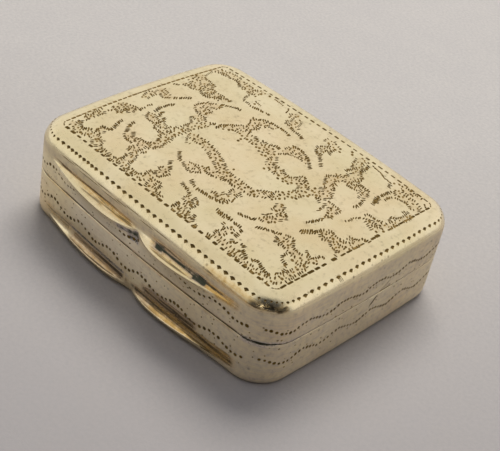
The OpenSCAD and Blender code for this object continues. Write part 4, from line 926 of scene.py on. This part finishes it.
def make_lid():
    skin = Skin()
    cuts = Cuts()
    scratch(cuts, 1.75, SEAM + 0.1, 3.2, SEAM + 1.0, 0.10, 0.6, on_lid)
    wave_row(cuts, waving(SEAM + 1.42, 0.25, 0.9, 1.3), on_lid, [(s_front(x), much) for x, much in LID_DOTS],
             LID_BOT + 0.15, SEAM + 1.95)
    marks = cuts.items + edge_cuts().items
    pattern = (LID_T, LID_NOTCH, LID_ROWS)
    skin.cut(lid_at, (0, LID_T[-1]), band_rim(*pattern), band_grid(*pattern), marks, finish=finish_and_shade_of)
    edge = [tuple(map(float, plan(np.array(s), PANEL_IN))) for s in COLUMNS[:-1]]
    inner = [(x, y) for x in grid_lines(-14.5, 14.5, 0.45) for y in grid_lines(-11.1, 11.1, 0.45)]
    inner = [p for p in inner if inside(p, edge)]
    skin.cut(panel_at, NO_LIMITS, edge, inner, panel_cuts().items, finish=panel_finish)
    lid_inside(skin)
    piece = skin.make("lid_shell", [SILVER, GILT, SILVER_PLAIN, OXIDE_AND_SEAM_SHADE])
    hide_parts("lid_band", "lid_top_plate")
    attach(piece, "lid")


def inside(p, edge):
    """Whether a grid point lies in the panel, clear of its edge."""
    x, y = abs(p[0]), abs(p[1])
    if x / (HX + BOW - PANEL_IN) > 1 or y / (HY + BOW - PANEL_IN) > 1:
        return False
    in_corner = x > CX and y > CY and math.hypot(x - CX, y - CY) > RC - PANEL_IN - 0.05
    return ((np.array(edge) - np.array(p)) ** 2).sum(1).min() > 0.15 ** 2 and not in_corner


# The camera over the lid's flat
SEEN_FROM = (56.04, -69.72, 60.49)


def on_dome(x, y):
    """From a place seen against the flat of the border to the same place on the domed panel."""
    h = float(arch(x, y)) / SEEN_FROM[2]
    return x + h * (SEEN_FROM[0] - x), y + h * (SEEN_FROM[1] - y)


def beside(points, gap):
    """The same bends moved sideways."""
    p = np.array(points)
    ahead = np.gradient(p, axis=0)
    ahead /= np.linalg.norm(ahead, axis=1)[:, None] + 1e-9
    return [tuple(v) for v in p + gap * np.stack([-ahead[:, 1], ahead[:, 0]], -1)]


# How far a cut leans from its path, the slant that most cuts share, and how many punch marks are tried
LEAN, SLANT = math.radians(65), math.radians(58)
PUNCHES = 24


def follow(cuts, kind, points, clear=None):
    """Short slanted cuts along a path, or cuts in line with it."""
    size, step, wide, tone = KINDS[kind]
    far = rng.uniform(0, step / 2)
    for (x0, y0), (x1, y1) in zip(points, points[1:]):
        length = math.hypot(x1 - x0, y1 - y0)
        while far < length:
            f = far / length
            x, y = mixed(x0, x1, f) + rng.uniform(-0.04, 0.04), mixed(y0, y1, f) + rng.uniform(-0.04, 0.04)
            angle = math.atan2(y1 - y0, x1 - x0)
            if kind != "s":
                angle = max((angle + LEAN, angle - LEAN), key=lambda v: abs(math.cos(v + SLANT)))
                angle += rng.uniform(-0.2, 0.2)
            cuts.put("tick", *on_dome(x, y), size * rng.uniform(0.8, 1.15), wide * rng.uniform(0.85, 1.15),
                     angle, rng.uniform(0.05, 0.08), tone * rng.uniform(0.8, 1.0),
                     room=wide * 0.9, clear=clear)
            far += step * rng.uniform(0.9, 1.1)
        far -= length


def punched(cuts):
    """Rows of cuts along the sides of each band of ground, and punch marks strewn between them."""
    for word, points in paths_of(GROUND):
        reach = float(word)
        for way in (1, -1):
            follow(cuts, "n", beside(points, way * 0.9 * reach), clear=0.29)
        for (x0, y0), (x1, y1) in zip(points, points[1:]):
            for k in range(int(PUNCHES * (0.6 + math.hypot(x1 - x0, y1 - y0)) * reach)):
                f, a, r = rng.random(), rng.uniform(0, 2 * math.pi), reach * math.sqrt(rng.random())
                x, y = on_dome(mixed(x0, x1, f) + r * math.cos(a), mixed(y0, y1, f) + r * math.sin(a))
                size = rng.uniform(0.24, 0.4)
                cuts.put("tick", x, y, size, size * 0.55, rng.uniform(-1.35, -0.6), 0.045,
                         rng.uniform(0.55, 0.95), room=0.36)


# The border's sides, from the back by way of the left: step, size, tone and width of a dash
BORDER = ((0.82, 0.56, 0.95, 0.21), (0.62, 0.62, 0.8, 0.21), (0.88, 0.6, 1.06, 0.3), (0.8, 0.78, 1.05, 0.23))
BORDER_X, BORDER_Y, BORDER_R = HX - 2.04, HY - 2.0, 0.5
BORDER_CORNERS = ((1, 1, 0), (-1, 1, 90), (-1, -1, 180), (1, -1, 270))


def border(cuts):
    """The dashed line around the panel, with a few thick dashes on the right."""
    corners = [(u * BORDER_X, v * BORDER_Y, a) for u, v, a in BORDER_CORNERS]
    for y, size in ((2.2, 0.62), (1.45, 0.6), (-2.75, 0.6), (-3.55, 0.66)):
        cuts.put("dash", *bowed(BORDER_X - 0.02, y), size, 0.36, math.radians(88), 0.06, 0.95, room=0.9)
    for k, (x, y, start) in enumerate(corners):
        for turn in (20, 50, 75):
            a = math.radians(start + turn)
            u = x - math.copysign(BORDER_R, x) + BORDER_R * math.cos(a)
            v = y - math.copysign(BORDER_R, y) + BORDER_R * math.sin(a)
            cuts.put("dash", *bowed(u, v), 0.24, 0.17, math.radians(start + turn + 90), 0.05, 0.85, room=0.12)
        p, q = np.array((x, y)), np.array(corners[(k + 1) % 4][:2])
        along = (q - p) / np.linalg.norm(q - p)
        p, q = p + along * BORDER_R, q - along * BORDER_R
        step, size, tone, wide = BORDER[k]
        n = int(round(np.linalg.norm(q - p) / step))
        for j in range(n):
            u, v = bowed(*(p + (q - p) * (j + 0.5) / n))
            cuts.put("dash", u, v, size * rng.uniform(0.8, 1.1), wide * rng.uniform(0.8, 1.25),
                     math.atan2(along[1], along[0]) + rng.uniform(-0.05, 0.05), 0.06,
                     tone * rng.uniform(0.85, 1.0), room=0.12)


def ground_film(place):
    """A thin brown film between the punch marks, strongest in the middle of each band of ground."""
    film = np.zeros(len(place))
    for word, points in paths_of(GROUND):
        reach = float(word)
        points = [np.array(on_dome(x, y)) for x, y in points]
        for p, q in zip(points, points[1:]):
            f = np.clip(((place[:, :2] - p) @ (q - p)) / ((q - p) @ (q - p)), 0, 1)
            d = np.linalg.norm(place[:, :2] - p - f[:, None] * (q - p), axis=1)
            film = np.maximum(film, np.clip((reach + 0.25 - d) / 0.4, 0, 1))
    return film


def panel_finish(place):
    dark, gold = finish_and_shade_of(place)
    film = ground_film(place)
    return np.maximum(dark, 0.09 * film), np.maximum(gold, 0.2 * film)


def panel_cuts():
    cuts = Cuts()
    for kind, points in paths_of(PATHS):
        follow(cuts, kind, points)
    for word in DOTS.split():
        size = rng.uniform(0.32, 0.44)
        cuts.put("dot", *on_dome(*point_of(word)), size, size * 0.75, rng.uniform(-1.2, -0.2), 0.05,
                 rng.uniform(0.75, 1.0), room=0.2)
    border(cuts)
    punched(cuts)
    return cuts


# The insides of lid and base
STEPS = np.array(COLUMNS[:-1:2])
AT_HINGE = np.abs(STEPS - LEN / 2) > LEN / 2 - HINGE_HALF


def ring(inset, z, arched=0.0):
    x, y = plan(STEPS, inset)
    return np.stack([x, y, z + arched * arch(x, y)], -1)


def seam(skin, at, rim, flip):
    """The edge of the lid or base that faces the other: painted shade near the outside, in the cuts' dark
    colour, clean metal further in.
    """
    outer = at(STEPS, np.zeros(len(STEPS)))
    outer[AT_HINGE, 1] = AXIS_Y - math.sqrt(GROOVE_R ** 2 - HALF_GAP ** 2)
    middle = mixed(outer, rim, 0.4)
    skin.rows([outer, middle], PIT, flip=flip)
    # Painted shade on the seam's faces: full from the back by the left to the front, lighter along the right
    # side
    seam_face_shade = np.interp(STEPS, [s_right(-9), s_right(-4), s_right(9), LEN], [1.0, 0.4, 0.4, 0.8])
    skin.finish[-1][:, 0] = np.repeat(seam_face_shade, 4)
    skin.rows([middle, rim], PLAIN, flip=flip)


def lid_inside(skin):
    rim, corner, plate = ring(LID_WALL, LID_BOT), ring(PLATE_IN, TOP - FLOOR_T, 1.0), TOP - PLATE_T
    seam(skin, lid_at, rim, True)
    rows = [rim]
    for a in np.radians([90, 60, 30, 0]):
        z = mixed(TOP - EDGE_R - 0.2, TOP - FLOOR_T, math.cos(a))
        rows.append(ring(mixed(EDGE_R, LID_WALL, math.sin(a)), z, mixed(0.21, 1, math.cos(a))))
    skin.rows(rows + [corner], INSIDE, flip=True)
    skin.rows([corner, ring(PLATE_IN, plate, 1.0)], INSIDE, flip=True)
    edge = ring(PLATE_IN, 0)
    under = []
    for k in (1.0, 0.85, 0.65, 0.4, 0.15, 0.0):
        x, y = edge[:, 0] * k, edge[:, 1] * k
        under.append(np.stack([x, y, plate + arch(x, y)], -1))
    skin.rows(under, INSIDE, flip=True)
    groove(skin, 1)


def groove(skin, way):
    """The half round channel that holds the knuckles, with its two ends."""
    def wall(x):
        return HY + BOW * (1 - (x / HX) ** 2)

    xs = grid_lines(-HINGE_HALF, HINGE_HALF, 1.0)
    rows = []
    for x in xs:
        angles = np.linspace(math.acos((AXIS_Y - wall(x)) / GROOVE_R), math.asin(HALF_GAP / GROOVE_R), 9)
        rows.append(np.array([(x, AXIS_Y - GROOVE_R * math.cos(a), SEAM + way * GROOVE_R * math.sin(a))
                              for a in angles]))
    skin.rows(rows, PLAIN, flip=way > 0, closed=False)
    for arc, turn in ((rows[0], 1), (rows[-1], -1)):
        flat = arc.copy()
        flat[:, 1] = wall(arc[0, 0])
        skin.rows([arc, flat], PLAIN, flip=turn * way < 0, closed=False, smooth=False)


def make_base():
    skin = Skin()
    cuts = Cuts()
    scratch(cuts, 0.65, SEAM - 1.3, 1.65, SEAM - 0.12, 0.22, 1.0, on_base)
    wave_row(cuts, waving(SEAM - 2.0, 0.28, 1.3, 1.3), on_base, [(0, 1), (LEN, 1)],
             BASE_TOP - 3.0, BASE_TOP - 0.15)
    pattern = (BASE_T, BASE_NOTCH, BASE_ROWS)
    skin.cut(base_at, (0, BASE_T[-1]), band_rim(*pattern), band_grid(*pattern), cuts.items, flip=True,
             finish=finish_and_shade_of)
    plate = ring(PLATE_IN, PLATE_T)
    levels = [ring(BASE_WALL, BASE_TOP), ring(BASE_WALL, FLOOR_T), ring(PLATE_IN, FLOOR_T), plate]
    seam(skin, base_at, levels[0], False)
    for upper, lower in zip(levels, levels[1:]):
        skin.rows([upper, lower], INSIDE)
    skin.rows([plate * (k, k, 1) for k in (1.0, 0.8, 0.5, 0.0)], INSIDE)
    groove(skin, -1)
    piece = skin.make("base_shell", [SILVER, GILT, SILVER_PLAIN, OXIDE_AND_SEAM_SHADE])
    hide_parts("base_band")
    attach(piece, "base")


# The pierced grille: its holes as in the part's source, with softened rims and engraved veins
GRILLE_TOP, GRILLE_BOTTOM, GRILLE_SOFT, GRILLE_EDGE = 4.50, 4.10, 0.045, 0.04
GRILLE_IN, GRILLE_BACK, GRILLE_MID = 1.15, 9.9, 0.9
NICK_R, NICK_Y = 1.1, -11.85
LUG_X, LUG_Y, KNUCKLE_X, KNUCKLE_Y = 5.6, 9.85, 3.0, 9.92


def lens(size, wide, grow):
    r = (size ** 2 + wide ** 2) / (4 * wide)
    ys = [size / 2 * math.sin(math.radians(a)) for a in (-90, -60, -35, -12, 12, 35, 60, 90)]
    half = [(math.sqrt(r * r - y * y) - r + wide / 2, y) for y in ys]
    shape = half + [(-x, y) for x, y in half[-2:0:-1]]
    return [(x * (1 + 2 * grow / wide), y * (1 + 2 * grow / size)) for x, y in shape]


def round_hole(r):
    return [(r * math.cos(a), r * math.sin(a)) for a in map(math.radians, range(0, 360, 20))]


def grille_holes(grow):
    found = []

    def spray(x, y, n, r0, size, wide, a0):
        for k in range(n):
            a = math.radians(a0 + 360 * k / n)
            found.append(turned([(u, v + r0) for u, v in lens(size, wide, grow)], a, x, y - GRILLE_MID))

    def hole(x, y, r):
        found.append(turned(round_hole(r + grow), 0, x, y - GRILLE_MID))

    hole(0, 0, 0.6)
    spray(0, 0, 8, 2.2, 2.2, 0.95, 0)
    spray(0, 0, 8, 3.9, 1.0, 0.5, 22.5)
    for sx in (-1, 1):
        hole(sx * 8.6, 0, 0.45)
        spray(sx * 8.6, 0, 6, 1.7, 1.7, 0.8, 30)
        spray(sx * 8.6, 0, 6, 2.9, 0.9, 0.5, 0)
        for sy in (-1, 1):
            hole(sx * 4.4, sy * 6.2, 0.4)
            spray(sx * 4.4, sy * 6.2, 6, 1.45, 1.5, 0.7, 0)
            hole(sx * 10.6, sy * 6.0, 0.35)
            spray(sx * 10.6, sy * 6.0, 5, 1.25, 1.25, 0.65, 0 if sy > 0 else 180)
        for k in range(-3, 4):
            hole(sx * 12.9, k * 2.1, 0.3)
    for sy in (-1, 1):
        for k in (-1, 0, 1):
            hole(k * 1.5, sy * (6.3 + (0.7 if k == 0 else 0)), 0.38)
        for k in range(-5, 6):
            hole(k * 2.3, sy * 8.7, 0.3)
    return found


def grille_rim(inset):
    """The grille's outline: rounded at the front, with a nick for the thumb and small steps at the hinge."""
    s = np.array([v for v in COLUMNS if BREAKS[1] < v < BREAKS[8]])
    x, y = plan(s, GRILLE_IN + inset)
    edge = [(float(a), float(b)) for a, b in zip(x, y)
            if b < 9.88 - inset and not (b < 0 and abs(a) < 1.09 + inset)]
    left = [p for p in edge if p[0] < 0]
    right = [p for p in edge if p[0] > 0]
    nick = [(NICK_R * math.cos(a) * (1 + inset), NICK_Y + (NICK_R + inset) * math.sin(a))
            for a in map(math.radians, (165, 150, 130, 110, 90, 70, 50, 30, 15))]
    half = [(LUG_X, GRILLE_BACK), (LUG_X, LUG_Y), (KNUCKLE_X, LUG_Y), (KNUCKLE_X, KNUCKLE_Y)]
    end = left[0][0] + 0.02
    back = [(-end, GRILLE_BACK)] + half + [(-u, v) for u, v in half[::-1]] + [(end, GRILLE_BACK)]
    return left + nick + right + [(u, v - inset) for u, v in back]


def grille_cuts():
    """A line of dashes near the edge, and small cuts that vein the ground around each rosette."""
    cuts = Cuts()
    edge = grille_rim(0.55)
    for p, q in zip(edge, edge[1:]):
        n = max(1, int(round(math.hypot(q[0] - p[0], q[1] - p[1]) / 0.5)))
        for k in range(n):
            x, y = [mixed(u, v, (k + 0.5) / n) for u, v in zip(p, q)]
            cuts.put("tick", x, y, 0.36, 0.12, math.atan2(q[1] - p[1], q[0] - p[0]), 0.03, 0.6, room=0.42)
    for x, n, r, size in ((0, 8, 2.4, 0.9), (8.6, 6, 2.0, 0.7), (-8.6, 6, 2.0, 0.7)):
        for k in range(n):
            a = math.radians(90 + 360 * (k + (0.5 if n == 8 else 1)) / n)
            for j in range(4):
                b = r - size / 2 + size * j / 3
                cuts.put("tick", x + b * math.cos(a), -GRILLE_MID + b * math.sin(a), 0.3, 0.09,
                         a + (0.9 if j % 2 else -0.9), 0.025, 0.55, room=0.1)
    for x in (-10.6, -4.4, 4.4, 10.6):
        for y in (-6.2, 6.2):
            for k in range(14):
                a = math.radians(360 * k / 14)
                cuts.put("tick", x + 2.45 * math.cos(a), y * 0.985 - GRILLE_MID + 2.3 * math.sin(a),
                         0.28, 0.09, a, 0.025, 0.55, room=0.1)
    holes = np.concatenate([np.array(h) for h in grille_holes(0.05)])
    return [c for c in cuts.items if ((np.array(c[0])[:, None] - holes) ** 2).sum(2).min() >= 0.1 ** 2]


def make_grille():
    skin = Skin()
    edge, outer = grille_rim(GRILLE_EDGE), grille_rim(0.0)
    ground = [(x, y) for x in grid_lines(-14, 14, 0.8) for y in grid_lines(-11, 9.3, 0.8)]
    ground = [(x, y) for x, y in ground
              if ((np.array(edge) - (x, y)) ** 2).sum(1).min() > 0.3 ** 2 and abs(x) < 14.3
              and math.hypot(x, y - NICK_Y) > 1.4 and math.hypot(max(0, abs(x) - CX), max(0, -y - CY)) < 1.8]
    wide, true = grille_holes(GRILLE_SOFT), grille_holes(0.0)

    def face_at(z):
        return lambda x, y: np.stack([x, y, np.full(len(x), z)], -1)

    def level(points, z):
        return [(x, y, z) for x, y in points]

    skin.cut(face_at(GRILLE_TOP), NO_LIMITS, edge, ground, grille_cuts(), slot=INSIDE, holes=wide)
    skin.cut(face_at(GRILLE_BOTTOM), NO_LIMITS, outer, ground, [], flip=True, slot=INSIDE, holes=true)
    for big, small in zip(wide, true):
        soft = [level(big, GRILLE_TOP), level(small, GRILLE_TOP - GRILLE_SOFT)]
        skin.rows(soft + [level(small, GRILLE_BOTTOM)], INSIDE)
    skin.rows([level(outer, GRILLE_BOTTOM), level(outer, GRILLE_TOP - GRILLE_EDGE)], INSIDE, smooth=False)
    piece = skin.make("grille_face", [SILVER, GILT, SILVER_PLAIN, OXIDE_GILT])
    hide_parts("grille_plate")
    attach(piece, "grille")


# The sponge: a soft block with rounded edges, full of pores
SPONGE_R, SPONGE_STEPS = 0.75, (96, 72, 14)
BROWN, PALE_BROWN = (0.36, 0.22, 0.085, 1), (0.50, 0.33, 0.14, 1)
DEEP_BROWN, PORE_SHADE = (0.24, 0.135, 0.045, 1), (0.07, 0.035, 0.012, 1)


def sponge_brown():
    mat, t = shader("sponge_brown")
    coord = object_place(t)
    pore = node(t, "VertexColor", layer_name="pores").outputs[0]
    fine = noise_at(t, coord, 2600.0, 4.0, 0.7)
    tint = blend(t, ramp(t, noise_at(t, coord, 300.0, 3.0), 0.35, 0.65), BROWN, PALE_BROWN)
    tint = blend(t, ramp(t, fine, 0.35, 0.75), tint, DEEP_BROWN)
    # Painted shade: the deeper a pore, the nearer its colour to black
    tint = blend(t, ramp(t, pore, 0.1, 0.9), tint, PORE_SHADE)
    cover(t, {"Base Color": tint, "Roughness": 0.95, "Specular IOR Level": 0.15}, fine, 0.7, 0.00012)
    return mat


def make_sponge():
    lo, hi = (np.array(v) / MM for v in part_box("sponge"))
    mid, half = (lo + hi) / 2, (hi - lo) / 2
    places, faces, index, deep = [], [], {}, []

    def point(p):
        key = tuple(np.round(p, 4))
        if key in index:
            return index[key]
        core = np.clip(p, -(half - SPONGE_R), half - SPONGE_R)
        n = (p - core) / max(np.linalg.norm(p - core), 1e-9)
        q = core + n * SPONGE_R
        sag = 0.12 * noise.noise(Vector(q * 0.25)) + 0.1 * noise.noise(Vector(q * 0.8))
        big = noise.voronoi(Vector(q * 0.95))[0][0]
        small = noise.voronoi(Vector(q * 2.3 + 7))[0][0]
        pit = 0.55 * max(0.0, 1 - (big / 0.42) ** 2) + 0.22 * max(0.0, 1 - (small / 0.5) ** 2)
        places.append(mid + q - n * max(0.0, pit + 0.16 - sag))
        deep.append(min(1.0, pit / 0.6))
        index[key] = len(places) - 1
        return index[key]

    for axis in range(3):
        a, b = [k for k in range(3) if k != axis]
        for side in (-1, 1):
            for i in range(SPONGE_STEPS[a]):
                for j in range(SPONGE_STEPS[b]):
                    quad = []
                    for u, v in ((i, j), (i + 1, j), (i + 1, j + 1), (i, j + 1)):
                        p = np.zeros(3)
                        p[axis] = side * half[axis]
                        p[a] = half[a] * (2 * u / SPONGE_STEPS[a] - 1)
                        p[b] = half[b] * (2 * v / SPONGE_STEPS[b] - 1)
                        quad.append(point(p))
                    turn = (side > 0) == (axis != 1)
                    faces.append(quad if turn else quad[::-1])
    mesh = bpy.data.meshes.new("sponge_block")
    mesh.from_pydata([tuple(p * MM) for p in places], [], faces)
    mesh.polygons.foreach_set("use_smooth", [True] * len(faces))
    layer = mesh.color_attributes.new("pores", "FLOAT_COLOR", "POINT")
    grey = np.stack([deep, deep, deep, np.ones(len(deep))], -1)
    layer.data.foreach_set("color", grey.astype(np.float32).ravel())
    mesh.materials.append(sponge_brown())
    piece = placed("sponge_block", mesh)
    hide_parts("sponge")
    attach(piece, "base")


make_lid()
make_base()
make_grille()
make_sponge()


# Pieces that are shown as they are in the part
def dress(names, mat):
    for name in names:
        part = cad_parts[name]
        if not part.material_slots:
            part.data.materials.append(mat)
        for place in part.material_slots:
            place.material = mat


dress(["lid_hinge_bearer", "base_hinge_bearer", "lid_knuckle_left", "lid_knuckle_right", "base_knuckle_left",
       "base_knuckle_center", "base_knuckle_right", "base_bottom_plate"], SILVER_PLAIN)
dress(["hinge_pin", "grille_pin"], WIRE)
dress(["bezel", "grille_knuckle", "grille_lug_left", "grille_lug_right", "grille_ledge_left",
       "grille_ledge_right", "grille_ledge_front"], GILT)


# Floor and light, with directions in the room
TO_VIEWER, TO_LAMP = (0.4906, -0.6313, 0.6007), (0.364, -0.880, 0.303)
NEARER, FARTHER = (0.614, -0.789, 0.0), (-0.614, 0.789, 0.0)
# Paper colours near and far: painted shade near the viewer, painted light far off
SHADED_NEAR_PAPER, LIT_FAR_PAPER = (0.40, 0.373, 0.37, 1), (0.66, 0.63, 0.60, 1)
PAPER_CLOUD, PAPER_GRAIN = (0.47, 0.455, 0.47, 1), (0.40, 0.385, 0.385, 1)
WALLS, LIT_WALLS, CEILING = (0.95, 0.94, 0.94, 1), (1.03, 1.01, 0.97, 1), (0.87, 0.845, 0.80, 1)
SHADE, GLOW = (0.07, 0.072, 0.085, 1), (8.0, 8.0, 8.0, 1)


def make_stage():
    mesh = bpy.data.meshes.new("floor")
    mesh.from_pydata([(-3, -3, 0), (3, -3, 0), (3, 3, 0), (-3, 3, 0)], [], [(0, 1, 2, 3)])
    floor = placed("floor", mesh)
    mat, t = shader("paper")
    coord = object_place(t)
    grain = noise_at(t, coord, 2600.0, 5.0, 0.75)
    cloud = noise_at(t, coord, 160.0, 3.0, 0.6)
    # Painted light falloff: the paper darkens towards the viewer
    tint = blend(t, ramp(t, toward(t, coord, FARTHER), -0.045, 0.03), SHADED_NEAR_PAPER, LIT_FAR_PAPER)
    tint = blend(t, ramp(t, cloud, 0.35, 0.65, 0.0, 0.12), tint, PAPER_CLOUD)
    tint = blend(t, ramp(t, grain, 0.35, 0.65, 0.0, 0.42), tint, PAPER_GRAIN)
    cover(t, {"Base Color": tint, "Roughness": 0.9}, grain, 0.3, 0.0001)
    mesh.materials.append(mat)


def area_light(name, place, size, power, colour):
    """A soft light that shines on the box and doesn't show in its metal."""
    lamp = bpy.data.lights.new(name, "AREA")
    lamp.shape = "RECTANGLE"
    lamp.size, lamp.size_y = size
    lamp.energy = power
    lamp.color = colour
    item = placed(name, lamp)
    item.location = place
    item.rotation_euler = (-Vector(place)).to_track_quat("-Z", "Y").to_euler()
    item.visible_glossy = False


def make_light():
    """A window, a fill light, and a pale room that only the metal mirrors, dark around the viewer."""
    area_light("window", (-0.20, 0.33, 0.58), (0.42, 0.36), 4.2, (1.0, 0.965, 0.91))
    area_light("fill", (0.05, -0.05, 0.6), (0.9, 0.9), 1.65, (0.91, 0.92, 1.0))
    world = bpy.data.worlds.new("room")
    bpy.context.scene.world = world
    world.use_nodes = True
    t = world.node_tree
    t.nodes.clear()
    way = node(t, "TexCoord").outputs["Generated"]
    up = node(t, "SeparateXYZ", {0: way}).outputs[2]
    tone = blend(t, ramp(t, up, -0.05, 0.4), WALLS, LIT_WALLS)
    tone = blend(t, ramp(t, up, 0.45, 0.85), tone, CEILING)
    viewer = ramp(t, toward(t, way, TO_VIEWER), 0.72, 0.92)
    low = times(t, ramp(t, toward(t, way, NEARER), 0.42, 0.68), ramp(t, up, 0.35, 0.6, 1.0, 0.0))
    tone = blend(t, maths(t, "MAXIMUM", viewer, low), tone, SHADE)
    tone = blend(t, ramp(t, toward(t, way, TO_LAMP), 0.9972, 0.9985), tone, GLOW)
    back = node(t, "Background", {"Color": tone, "Strength": 0.87})
    node(t, "OutputWorld", {"Surface": back.outputs[0]})
    world.cycles_visibility.diffuse = False
    bpy.context.scene.view_settings.view_transform = "Standard"


make_stage()
make_light()
